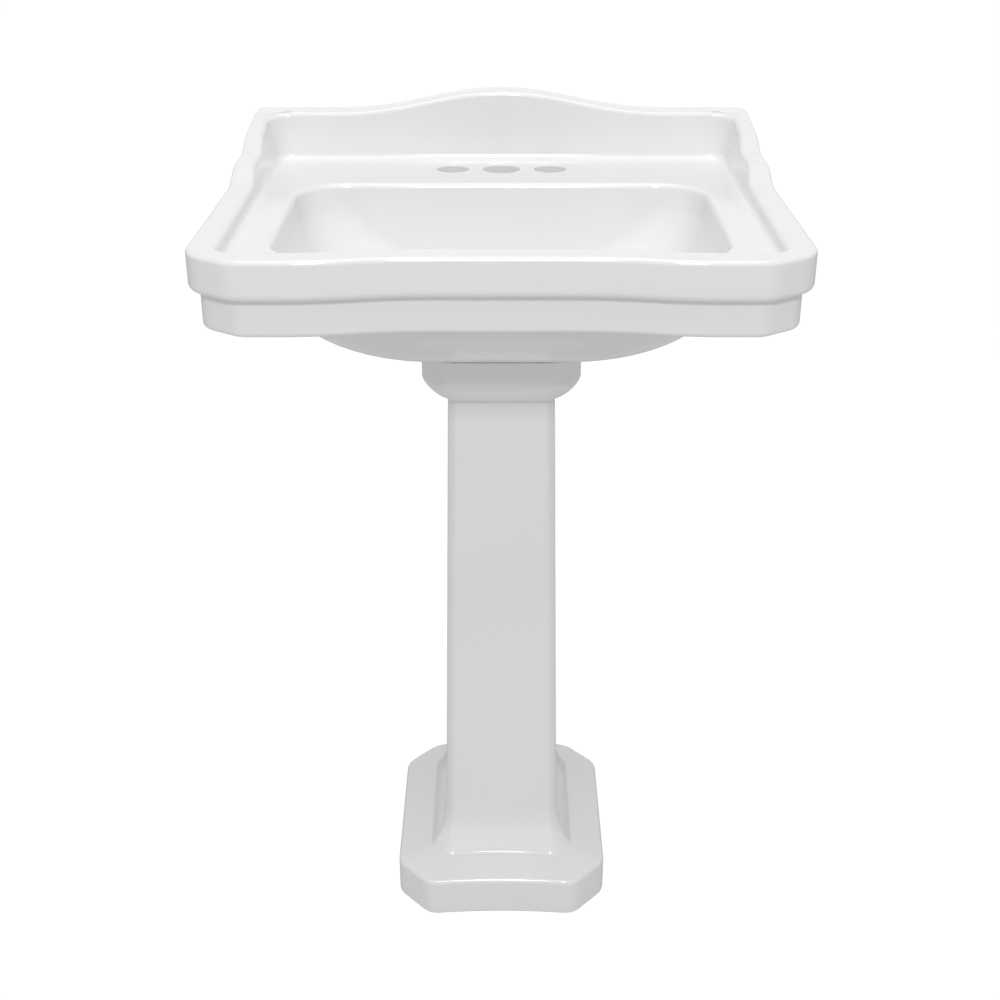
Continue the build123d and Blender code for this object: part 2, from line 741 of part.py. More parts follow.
spring_foot = web_top + housing_floor
foot_z = spring_foot + spring_closed
spring_radius = housing_bore / 2 - spring_wire / 2 - 3 * seal_gap
with BuildPart() as cartridge_spring:
    spring_rise = spring_closed - spring_wire - 2 * fit_gap
    with BuildLine(drain_plane(spring_foot + spring_wire / 2 + fit_gap)):
        coil = Helix(pitch=spring_rise / spring_turns, height=spring_rise, radius=spring_radius)
    with BuildSketch(Plane(coil @ 0, z_dir=coil % 0)):
        Circle(spring_wire / 2)
    sweep(path=coil, is_frenet=True)
cartridge_spring.part.label = "cartridge_spring"
export_step(cartridge_spring.part, "parts/cartridge_spring.step")

seal_foot = flange_top - plug_seat_depth + seal_gap
cap_foot = seal_foot + plug_seal_height
with BuildPart() as plug_spindle:
    with BuildSketch(drain_plane(foot_z)):
        Circle(housing_bore / 2 - fit_gap)
    extrude(amount=foot_height)
    with BuildSketch(drain_plane(foot_z + foot_height)):
        Circle(spindle / 2)
    extrude(amount=cap_foot + cap_height / 3 - foot_z - foot_height)
plug_spindle.part.label = "plug_spindle"
export_step(plug_spindle.part, "parts/plug_spindle.step")

with BuildPart() as plug_cap:
    with BuildSketch(drain_plane(cap_foot)):
        Circle(cap_diameter / 2)
    extrude(amount=cap_height)
    fillet(plug_cap.faces().sort_by(Axis.Z)[-1].edges(), radius=cap_height * 0.7)
    with BuildSketch(drain_plane(seal_foot)):
        Circle(cap_boss / 2)
    extrude(amount=plug_seal_height)
    with BuildSketch(drain_plane(seal_foot - cap_lip_height)):
        Circle(cap_lip / 2)
    extrude(amount=cap_lip_height)
    with BuildSketch(drain_plane(seal_foot - cap_lip_height)):
        Circle(spindle / 2 + fit_gap)
    extrude(amount=cap_lip_height + plug_seal_height + cap_height / 3 + fit_gap, mode=Mode.SUBTRACT)
plug_cap.part.label = "plug_cap"
export_step(plug_cap.part, "parts/plug_cap.step")

with BuildPart() as plug_seal:
    with BuildSketch(drain_plane(seal_foot + fit_gap)):
        add(ring(plug_seal_diameter, cap_boss + 2 * seal_gap))
    extrude(amount=plug_seal_height - 2 * fit_gap)
plug_seal.part.label = "plug_seal"
export_step(plug_seal.part, "parts/plug_seal.step")

# Waste pipes: tailpiece, trap bend and the arm to the wall
tailpiece_top = tail_end + tail_overlap
tailpiece_foot = tailpiece_top - tailpiece_length
with BuildPart() as tailpiece:
    with BuildSketch(drain_plane(tailpiece_foot)):
        add(ring(pipe_diameter, pipe_diameter - 2 * pipe_wall))
    extrude(amount=tailpiece_length)
tailpiece.part.label = "tailpiece"
export_step(tailpiece.part, "parts/tailpiece.step")

inlet_top = tailpiece_foot + socket_cover
inlet_foot = inlet_top - socket_depth
bend_z = inlet_foot - inlet_leg
outlet_y = drain_y + 2 * bend_radius
outlet_foot = bend_z + outlet_leg
outlet_top = outlet_foot + outlet_socket_depth
bend_low = bend_z - bend_radius - bend_diameter / 2
cleanout_y = drain_y + bend_radius
cleanout_foot = bend_low - cleanout_drop
socket_bore = pipe_diameter + 2 * seal_gap

with BuildPart() as trap_bend:
    with BuildLine(Plane.YZ) as bend_path:
        leg = Line((drain_y, inlet_foot + bend_wall), (drain_y, bend_z))
        turn = JernArc(leg @ 1, leg % 1, bend_radius, 180)
        Line(turn @ 1, (turn @ 1) + Vector(0, 0, outlet_leg + bend_wall))
    with BuildSketch(drain_plane(inlet_foot + bend_wall)):
        Circle(bend_diameter / 2)
    sweep(path=bend_path.wires()[0])
    for y, foot, depth in ((drain_y, inlet_foot, socket_depth), (outlet_y, outlet_foot, outlet_socket_depth)):
        with BuildSketch(Plane((0, y, foot))):
            Circle(socket_diameter / 2)
        extrude(amount=depth)
    with BuildSketch(Plane((0, cleanout_y, cleanout_foot))):
        Circle(cleanout_diameter / 2)
    extrude(amount=cleanout_drop + bend_diameter / 4)
    with BuildSketch(drain_plane(inlet_foot + bend_wall)):
        Circle(bend_diameter / 2 - bend_wall)
    sweep(path=bend_path.wires()[0], mode=Mode.SUBTRACT)
    for y, foot, depth in ((drain_y, inlet_foot, socket_depth), (outlet_y, outlet_foot, outlet_socket_depth)):
        with BuildSketch(Plane((0, y, foot + bend_wall))):
            Circle(socket_bore / 2)
        extrude(amount=depth, mode=Mode.SUBTRACT)
    with BuildSketch(Plane((0, cleanout_y, cleanout_foot))):
        Circle(cleanout_bore / 2 + fit_gap)
    extrude(amount=cleanout_drop + bend_diameter / 4, mode=Mode.SUBTRACT)
trap_bend.part.label = "trap_bend"
export_step(trap_bend.part, "parts/trap_bend.step")

with BuildPart() as cleanout_gasket:
    with BuildSketch(Plane((0, cleanout_y, cleanout_foot - cleanout_gasket_height))):
        add(ring(cleanout_diameter - 1, cleanout_bore + 2 * seal_gap))
    extrude(amount=cleanout_gasket_height)
cleanout_gasket.part.label = "cleanout_gasket"
export_step(cleanout_gasket.part, "parts/cleanout_gasket.step")

head_top = cleanout_foot - cleanout_gasket_height
with BuildPart() as cleanout_plug:
    with BuildSketch(Plane((0, cleanout_y, head_top - cleanout_head))):
        RegularPolygon(cleanout_diameter / 2, 6, major_radius=False)
    extrude(amount=cleanout_head)
    chamfer(cleanout_plug.faces().sort_by(Axis.Z)[0].edges(), length=1)
    with BuildSketch(Plane((0, cleanout_y, head_top))):
        Circle(cleanout_bore / 2)
    extrude(amount=cleanout_gasket_height + cleanout_drop)
cleanout_plug.part.label = "cleanout_plug"
export_step(cleanout_plug.part, "parts/cleanout_plug.step")


def slip_washer(y, foot):
    # Rubber ring between a socket's rim and its nut.
    with BuildPart() as washer:
        with BuildSketch(Plane((0, y, foot))):
            add(ring(socket_diameter, socket_bore))
        extrude(amount=slip_washer_height)
    return washer.part


def slip_nut(y, washer_foot):
    # Ribbed hand nut that grips a washer on top of its socket.
    top = washer_foot + slip_washer_height + slip_nut_lip
    with BuildPart() as nut:
        with BuildSketch(Plane((0, y, top - slip_nut_height))):
            Circle(slip_nut_diameter / 2 - 1)
            with PolarLocations(slip_nut_diameter / 2 - 1, slip_nut_ribs):
                Circle(1.5)
        extrude(amount=slip_nut_height)
        chamfer(nut.faces().sort_by(Axis.Z)[-1].edges(), length=0.6)
        with Locations((0, y, top)):
            Hole(socket_bore / 2, depth=slip_nut_lip)
        with Locations((0, y, top - slip_nut_lip)):
            Hole(socket_diameter / 2 + fit_gap, depth=slip_nut_height)
    return nut.part


inlet_washer = slip_washer(drain_y, inlet_top)
inlet_washer.label = "trap_inlet_washer"
export_step(inlet_washer, "parts/trap_inlet_washer.step")
union_washer = slip_washer(outlet_y, outlet_top)
union_washer.label = "trap_union_washer"
export_step(union_washer, "parts/trap_union_washer.step")
inlet_nut = slip_nut(drain_y, inlet_top)
inlet_nut.label = "trap_inlet_nut"
export_step(inlet_nut, "parts/trap_inlet_nut.step")
union_nut = slip_nut(outlet_y, outlet_top)
union_nut.label = "trap_union_nut"
export_step(union_nut, "parts/trap_union_nut.step")

arm_foot = outlet_top - outlet_cover
elbow_foot = outlet_top + slip_washer_height + elbow_rise
arm_z = elbow_foot + elbow_radius
with BuildPart() as trap_arm:
    with BuildLine(Plane.YZ) as arm_path:
        rise = Line((outlet_y, arm_foot), (outlet_y, elbow_foot))
        elbow = JernArc(rise @ 1, rise % 1, elbow_radius, -90)
        Line(elbow @ 1, (half_depth, arm_z))
    with BuildSketch(Plane((0, outlet_y, arm_foot))):
        add(ring(pipe_diameter, pipe_diameter - 2 * pipe_wall))
    sweep(path=arm_path.wires()[0])
trap_arm.part.label = "trap_arm"
export_step(trap_arm.part, "parts/trap_arm.step")

with BuildPart() as wall_flange:
    with BuildSketch(Plane((0, half_depth, arm_z), x_dir=(1, 0, 0), z_dir=(0, -1, 0))):
        Circle(wall_flange_diameter / 2)
    extrude(amount=wall_flange_depth)
    outer_edge = wall_flange.faces().sort_by(Axis.Y)[0].edges()
    fillet(outer_edge, radius=wall_flange_depth - wall_flange_wall)
    offset(amount=-wall_flange_wall, openings=wall_flange.faces().sort_by(Axis.Y)[-1])
    with BuildSketch(Plane((0, half_depth, arm_z), x_dir=(1, 0, 0), z_dir=(0, -1, 0))):
        Circle(pipe_diameter / 2 + seal_gap)
    extrude(amount=wall_flange_depth, mode=Mode.SUBTRACT)
wall_flange.part.label = "wall_flange"
export_step(wall_flange.part, "parts/wall_flange.step")
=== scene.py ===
import json
import math

import bmesh
import bpy
import numpy as np
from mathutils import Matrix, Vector


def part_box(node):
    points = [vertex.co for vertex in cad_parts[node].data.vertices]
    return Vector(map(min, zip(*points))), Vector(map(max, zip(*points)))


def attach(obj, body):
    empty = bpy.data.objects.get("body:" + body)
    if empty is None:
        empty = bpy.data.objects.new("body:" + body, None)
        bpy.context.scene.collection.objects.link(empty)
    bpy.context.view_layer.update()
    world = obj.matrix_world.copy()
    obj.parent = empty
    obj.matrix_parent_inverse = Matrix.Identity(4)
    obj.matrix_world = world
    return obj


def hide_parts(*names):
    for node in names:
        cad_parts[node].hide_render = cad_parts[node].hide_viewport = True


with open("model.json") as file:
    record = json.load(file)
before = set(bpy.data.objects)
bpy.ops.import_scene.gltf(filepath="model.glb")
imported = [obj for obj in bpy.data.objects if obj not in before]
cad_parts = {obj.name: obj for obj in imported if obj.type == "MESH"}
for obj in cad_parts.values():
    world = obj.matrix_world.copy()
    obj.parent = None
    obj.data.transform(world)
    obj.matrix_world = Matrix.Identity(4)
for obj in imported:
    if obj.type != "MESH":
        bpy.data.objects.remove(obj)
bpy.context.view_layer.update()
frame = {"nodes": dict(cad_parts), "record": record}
scene = bpy.context.scene
mm = 0.001


# shared helpers

def linearColour(hexText):
    # sRGB hex to Blender's linear colour
    values = [int(hexText[i:i + 2], 16) / 255 for i in (1, 3, 5)]
    return [v / 12.92 if v <= 0.04045 else ((v + 0.055) / 1.055) ** 2.4 for v in values] + [1.0]


def addNode(tree, kind, settings=None, **links):
    # one node: plain settings by attribute, inputs by name as a value or a socket
    node = tree.nodes.new(kind)
    for name, value in (settings or {}).items():
        setattr(node, name, value)
    for name, value in links.items():
        key = int(name[1:]) if name[0] == "i" and name[1:].isdigit() else name.replace("_", " ")
        socket = node.inputs[key]
        if isinstance(value, bpy.types.NodeSocket):
            tree.links.new(value, socket)
        else:
            socket.default_value = value
    return node


def newMaterial(name):
    material = bpy.data.materials.new(name)
    material.use_nodes = True
    tree = material.node_tree
    tree.nodes.clear()
    return material, tree


def meshObject(name, vertices, faces):
    mesh = bpy.data.meshes.new(name)
    mesh.from_pydata([tuple(v) for v in vertices], [], faces)
    mesh.validate()
    obj = bpy.data.objects.new(name, mesh)
    scene.collection.objects.link(obj)
    return obj


def ringSolid(name, rings, closed):
    # quads between rings of equal length; closed joins the last ring to the first
    count = len(rings[0])
    vertices = np.concatenate(rings) * mm
    faces = []
    total = len(rings) if closed else len(rings) - 1
    for r in range(total):
        a, b = r * count, ((r + 1) % len(rings)) * count
        for i in range(count):
            j = (i + 1) % count
            faces.append((a + i, a + j, b + j, b + i))
    return meshObject(name, vertices, faces)


def fixNormals(obj, mergeBy=0.00001):
    work = bmesh.new()
    work.from_mesh(obj.data)
    bmesh.ops.remove_doubles(work, verts=work.verts, dist=mergeBy)
    bmesh.ops.recalc_face_normals(work, faces=work.faces)
    work.to_mesh(obj.data)
    work.free()


def applyModifiers(obj):
    depsgraph = bpy.context.evaluated_depsgraph_get()
    mesh = bpy.data.meshes.new_from_object(obj.evaluated_get(depsgraph))
    obj.modifiers.clear()
    obj.data = mesh


def booleanWith(obj, cutter, operation):
    step = obj.modifiers.new("cut", "BOOLEAN")
    step.operation = operation
    step.solver = "EXACT"
    step.object = cutter
    applyModifiers(obj)
    bpy.data.objects.remove(cutter)


def smoothShade(obj, sharpAngle):
    for face in obj.data.polygons:
        face.use_smooth = True
    obj.data.set_sharp_from_angle(angle=math.radians(sharpAngle))
    weigh = obj.modifiers.new("weigh", "WEIGHTED_NORMAL")
    weigh.keep_sharp = True
    applyModifiers(obj)


def mirrorHalf(half):
    # right half from the front middle to the back middle, closed with its mirror image
    half = np.asarray(half, dtype=float)
    left = half[1:-1][::-1].copy()
    left[:, 0] *= -1
    return np.concatenate([half, left])


def stepTable(yLow, zLow, yHigh, zHigh, pull):
    t = np.linspace(0, 1, 200)
    y = yLow + (yHigh - yLow) * (3 * pull * t * (1 - t) ** 2 + 3 * (1 - pull) * t ** 2 * (1 - t) + t ** 3)
    return y, zLow + (zHigh - zLow) * (3 * t ** 2 - 2 * t ** 3)


def arcPoints(centre, radius, startDeg, endDeg, count, includeEnd=True):
    angles = np.radians(np.linspace(startDeg, endDeg, count if includeEnd else count + 1))
    if not includeEnd:
        angles = angles[:-1]
    return np.stack([centre[0] + radius * np.cos(angles), centre[1] + radius * np.sin(angles)], 1)


def linePoints(start, end, count):
    # count points from start up to but not at end
    t = np.linspace(0, 1, count, endpoint=False)[:, None]
    return np.asarray(start) * (1 - t) + np.asarray(end) * t


print("frame loaded")


# basin, millimetres

basin = {
    "halfDepth": 223.0, "halfFront": 267.5, "halfBack": 262.5,
    "deckZ": 790.0, "rimTop": 802.5, "apronBottom": 732.0, "bandBottom": 766.0,
    "overhang": 9.5, "bandRound": 6.5, "coveRound": 2.5, "apronRound": 5.0,
    "frontSetback": 12.0, "frontFlat": 60.0, "frontShoulder": 190.0,
    "cutAcross": 42.0, "cutAlong": 28.0, "cornerRound": 34.0, "backCornerRound": 8.0,
    "wallFoot": 29.0, "wallDraft": 10.0, "frontRim": 28.0, "slab": 31.0, "pocketRound": 14.0,
    "rimRoundOut": 5.0, "rimRoundIn": 5.0, "rimCrown": 0.3, "deckFillet": 6.0,
    "lowTier": (16.5, 66.5, 816.3), "highTier": (92.5, 148.5, 831.5), "stepPull": 0.44,
    "sideBackZ": 838.0, "backEndZ": 838.8, "crestZ": 860.2, "crestHalf": 175.0,
    "crestPullLow": 0.43, "crestPullHigh": 0.36,
    "bowlHalf": 201.0, "bowlFront": -170.5, "bowlBack": 82.5, "bowlCorner": 48.0, "bowlEdge": 6.0,
    "bowlDepth": 118.0, "fullness": 2.0, "outerFullness": 2.12, "cornerEase": 55.0, "frontFullness": 2.0,
    "floorWall": 14.0, "hollowRound": 3.0, "apronFace": 23.0, "rampHalf": 1.3,
    "drainY": 6.5, "drainFlat": 45.0, "boreR": 22.5, "recessR": 33.0, "recessDepth": 3.0,
    "bossR": 39.0, "bossZ": 632.0, "shell": 12.0,
    "tapY": 146.0, "tapSpacing": 50.8, "tapCentreR": 18.8, "tapSideR": 16.2, "tapRound": 1.8,
    "boltX": 101.6, "boltZ": 754.0, "boltR": 7.0,
    "overflowZ": 760.0, "overflowR": 11.0, "overflowHalf": 15.0, "web": 4.0, "floorWeb": 5.0,
    "seatZ": 653.0, "capitalHalf": 78.5, "capitalFront": -62.4,
    "seatInset": 2.0, "railWidth": 14.0, "railRise": 26.0,
}
sharpDeg = {"china": 38, "nut": 35}       # edges that turn more than this stay crisp

# how many points each stretch of the half outline gets
stretch = {"flat": 16, "sFirst": 12, "sSecond": 12, "toCorner": 4, "corner": 22, "toStep": 16, "low": 14,
           "tread": 5, "high": 16, "toSlab": 12, "ramp": 4, "end": 4, "backCorner": 6, "toCrest": 8, "crest": 24}
frontCount = stretch["flat"] + stretch["sFirst"] + stretch["sSecond"] + stretch["toCorner"]
slabCount = stretch["crest"] + stretch["toCrest"] + stretch["backCorner"] + stretch["end"]


def meetLines(p, u, q, v):
    # where two lines in plan meet
    cross = u[0] * v[1] - u[1] * v[0]
    t = ((q[0] - p[0]) * v[1] - (q[1] - p[1]) * v[0]) / cross
    return np.array([p[0] + t * u[0], p[1] + t * u[1]])


def filletArc(before, corner, after, radius, count):
    # rounded corner of a polyline as count points
    a = (before - corner) / np.linalg.norm(before - corner)
    b = (after - corner) / np.linalg.norm(after - corner)
    half = math.acos(max(-1, min(1, float(a @ b)))) / 2
    reach = radius / math.tan(half)
    centre = corner + (a + b) / np.linalg.norm(a + b) * radius / math.sin(half)
    start, end = corner + a * reach, corner + b * reach
    first = math.degrees(math.atan2(*(start - centre)[::-1]))
    last = math.degrees(math.atan2(*(end - centre)[::-1]))
    turn = (last - first + 180) % 360 - 180
    return arcPoints(centre, radius, first, first + turn, count)


def frontLine(shift, inset):
    # the S of the front, moved back by shift or offset inwards by inset
    reach = basin["frontShoulder"] - basin["frontFlat"]
    radius = (reach ** 2 + basin["frontSetback"] ** 2) / (4 * basin["frontSetback"])
    turn = 2 * math.degrees(math.atan2(basin["frontSetback"], reach))
    middle = -basin["halfDepth"] + basin["frontSetback"] + shift
    corner = -basin["halfDepth"] + shift
    flat = linePoints((0, middle + inset), (basin["frontFlat"], middle + inset), stretch["flat"])
    first = arcPoints((basin["frontFlat"], middle - radius), radius + inset, 90, 90 - turn,
                      stretch["sFirst"], False)
    second = arcPoints((basin["frontShoulder"], corner + radius), radius - inset, 270 - turn, 270,
                       stretch["sSecond"], False)
    return np.concatenate([flat, first, second]), (basin["frontShoulder"], corner + inset)


def sideStations(first):
    b = basin
    return np.concatenate([
        np.linspace(first, b["lowTier"][0], stretch["toStep"], endpoint=False),
        np.linspace(b["lowTier"][0], b["lowTier"][1], stretch["low"], endpoint=False),
        np.linspace(b["lowTier"][1], b["highTier"][0], stretch["tread"], endpoint=False),
        np.linspace(b["highTier"][0], b["highTier"][1], stretch["high"], endpoint=False),
    ])


def outerHalf(inset, backInset):
    # outline seen from above, right half, offset inwards
    b = basin
    front, shoulder = frontLine(0, inset)
    frontY = -b["halfDepth"] + inset
    cutStart = np.array([b["halfFront"] - b["cutAcross"], -b["halfDepth"]])
    cutEnd = np.array([b["halfFront"], -b["halfDepth"] + b["cutAlong"]])
    sideEnd = np.array([b["halfBack"], b["halfDepth"]])
    cutDir = (cutEnd - cutStart) / np.linalg.norm(cutEnd - cutStart)
    sideDir = (sideEnd - cutEnd) / np.linalg.norm(sideEnd - cutEnd)
    cutIn = np.array([-cutDir[1], cutDir[0]]) * inset
    sideIn = np.array([-sideDir[1], sideDir[0]]) * inset
    backY = b["halfDepth"] - backInset
    cornerA = meetLines((0, frontY), (1, 0), cutStart + cutIn, cutDir)
    cornerB = meetLines(cutStart + cutIn, cutDir, cutEnd + sideIn, sideDir)
    cornerC = meetLines(cutEnd + sideIn, sideDir, (0, backY), (1, 0))
    radius = max(b["cornerRound"] - inset, 2)
    arcA = filletArc(np.array(shoulder), cornerA, cornerB, radius, 8)
    arcB = filletArc(cornerA, cornerB, cornerC, radius, 8)
    backRadius = max(b["backCornerRound"] - inset, 1.5)
    arcC = filletArc(cornerB, cornerC, np.array([0, backY]), backRadius, stretch["backCorner"])
    slope = sideDir[0] / sideDir[1]

    def onSide(y):
        return np.stack([cornerB[0] + (y - cornerB[1]) * slope, y], 1)
    slabY = b["halfDepth"] - b["slab"]
    parts = [front, linePoints(shoulder, arcA[0], stretch["toCorner"]), arcA,
             linePoints(arcA[-1], arcB[0], 7)[1:], arcB]
    parts += [onSide(sideStations(arcB[-1][1])[1:])]
    parts += [onSide(np.linspace(b["highTier"][1], slabY - b["rampHalf"], stretch["toSlab"], endpoint=False))]
    parts += [onSide(np.linspace(slabY - b["rampHalf"], slabY + b["rampHalf"], stretch["ramp"], endpoint=False))]
    parts += [onSide(np.linspace(slabY + b["rampHalf"], arcC[0][1], stretch["end"], endpoint=False))]
    parts += [arcC, linePoints(arcC[-1], (b["crestHalf"], backY), stretch["toCrest"] + 1)[1:]]
    crestX = np.linspace(b["crestHalf"], 0, stretch["crest"])
    parts += [np.stack([crestX, np.full_like(crestX, backY)], 1)]
    return np.concatenate(parts)


def innerHalf(rise, outset):
    # outline of the space between the walls at a height above the deck, offset outwards
    b = basin
    front, shoulder = frontLine(b["frontRim"], -outset)
    side = b["halfFront"] - b["wallFoot"] + outset + rise * math.tan(math.radians(b["wallDraft"]))
    slabY = b["halfDepth"] - b["slab"] + outset
    radius = b["pocketRound"] + outset
    corner = np.array([side, shoulder[1]])
    arcA = filletArc(np.array([0, shoulder[1]]), corner, np.array([side, 0.0]), radius, stretch["corner"])
    cornerBack = np.array([side, slabY])
    arcB = filletArc(np.array([side, 0.0]), cornerBack, np.array([0.0, slabY]), radius, 9)
    stations = sideStations(arcA[-1][1])[1:]
    parts = [front, linePoints(shoulder, arcA[0], stretch["toCorner"]), arcA]
    parts += [np.stack([np.full_like(stations, side), stations], 1)]
    parts += [linePoints((side, b["highTier"][1]), arcB[0], stretch["toSlab"] - 8), arcB[:-1]]
    rampX = np.linspace(arcB[-1][0], arcB[-1][0] - 3, stretch["ramp"], endpoint=False)
    restX = np.linspace(arcB[-1][0] - 3, b["crestHalf"],
                        stretch["end"] + stretch["backCorner"] + stretch["toCrest"], endpoint=False)
    crestX = np.linspace(b["crestHalf"], 0, stretch["crest"])
    backX = np.concatenate([rampX, restX, crestX])
    parts += [np.stack([backX, np.full_like(backX, slabY)], 1)]
    return np.concatenate(parts)


def topHeights(plan):
    # height of the walls' top at each point of a half outline
    b = basin
    lowY, lowZ = stepTable(b["lowTier"][0], b["rimTop"], b["lowTier"][1], b["lowTier"][2], b["stepPull"])
    highY, highZ = stepTable(b["highTier"][0], b["lowTier"][2], b["highTier"][1], b["highTier"][2], b["stepPull"])
    sideY = np.concatenate([[-300], lowY, highY, [b["halfDepth"] - b["slab"], 400]])
    sideZ = np.concatenate([[b["rimTop"]], lowZ, highZ, [b["sideBackZ"], b["sideBackZ"]]])
    heights = np.interp(plan[:, 1], sideY, sideZ)
    slabStart = len(plan) - slabCount
    rampStart = slabStart - stretch["ramp"]
    ramp = np.linspace(0, 1, stretch["ramp"] + 2)[1:-1]
    heights[rampStart:slabStart] = b["sideBackZ"] + (b["backEndZ"] - b["sideBackZ"]) * ramp ** 2 * (3 - 2 * ramp)
    heights[slabStart:] = b["backEndZ"]
    t = np.linspace(0, 1, 200)
    half = b["crestHalf"]
    crestX = half * ((1 - t) ** 3 + 3 * (1 - b["crestPullLow"]) * t * (1 - t) ** 2
                     + 3 * b["crestPullHigh"] * t ** 2 * (1 - t))
    crestZ = b["backEndZ"] + (b["crestZ"] - b["backEndZ"]) * (3 * t ** 2 - 2 * t ** 3)
    last = stretch["crest"]
    heights[-last:] = np.interp(plan[-last:, 0], crestX[::-1], crestZ[::-1])
    return heights


def atHeight(plan, z):
    z = np.broadcast_to(z, len(plan))
    return mirrorHalf(np.column_stack([plan, z]))


def rectangleMarks(half, front, back, corner):
    # lengths of the five stretches of half a rounded rectangle, and where each begins
    lengths = [half - corner, math.pi / 2 * corner, back - front - 2 * corner, math.pi / 2 * corner, half - corner]
    return lengths, np.concatenate([[0], np.cumsum(lengths)])


def roundedHalf(half, front, back, corner, share):
    # half of a rounded rectangle, sampled at shares of its length
    corner = min(corner, half - 0.01, (back - front) / 2 - 0.01)       # keeps a sliver of each side
    marks = rectangleMarks(half, front, back, corner)[1]
    out = []
    for s in share * marks[-1]:
        k = min(int(np.searchsorted(marks, s, side="right")) - 1, 4)
        d = s - marks[k]
        if k == 0:
            out.append((d, front))
        elif k == 1:
            a = d / corner - math.pi / 2
            out.append((half - corner + corner * math.cos(a), front + corner + corner * math.sin(a)))
        elif k == 2:
            out.append((half, front + corner + d))
        elif k == 3:
            a = d / corner
            out.append((half - corner + corner * math.cos(a), back - corner + corner * math.sin(a)))
        else:
            out.append((half - corner - d, back))
    return np.array(out)


halfCount = len(outerHalf(0, 0))
assert halfCount == len(innerHalf(0, 0))


def bowlShares():
    # spreads the points round the bowl's mouth to face those of the deck's outline
    b = basin
    deck = innerHalf(0, 0)
    lengths, marks = rectangleMarks(b["bowlHalf"], b["bowlFront"], b["bowlBack"], b["bowlCorner"])
    a = frontCount
    c = a + stretch["corner"]
    e = c + stretch["toStep"] - 1 + stretch["low"] + stretch["tread"] + stretch["high"]
    g = e + stretch["toSlab"] + stretch["ramp"]
    s = np.zeros(len(deck))
    s[:a] = deck[:a, 0] / deck[a, 0] * lengths[0]
    s[a:c] = marks[1] + np.linspace(0, 1, c - a) * lengths[1]
    s[c - 1:e + 1] = marks[2] + (deck[c - 1:e + 1, 1] - deck[c - 1, 1]) / (deck[e, 1] - deck[c - 1, 1]) * lengths[2]
    s[e:g + 1] = marks[3] + np.linspace(0, 1, g + 1 - e) * lengths[3]
    s[g:] = marks[4] + (deck[g, 0] - deck[g:, 0]) / deck[g, 0] * lengths[4]
    return s / marks[-1]


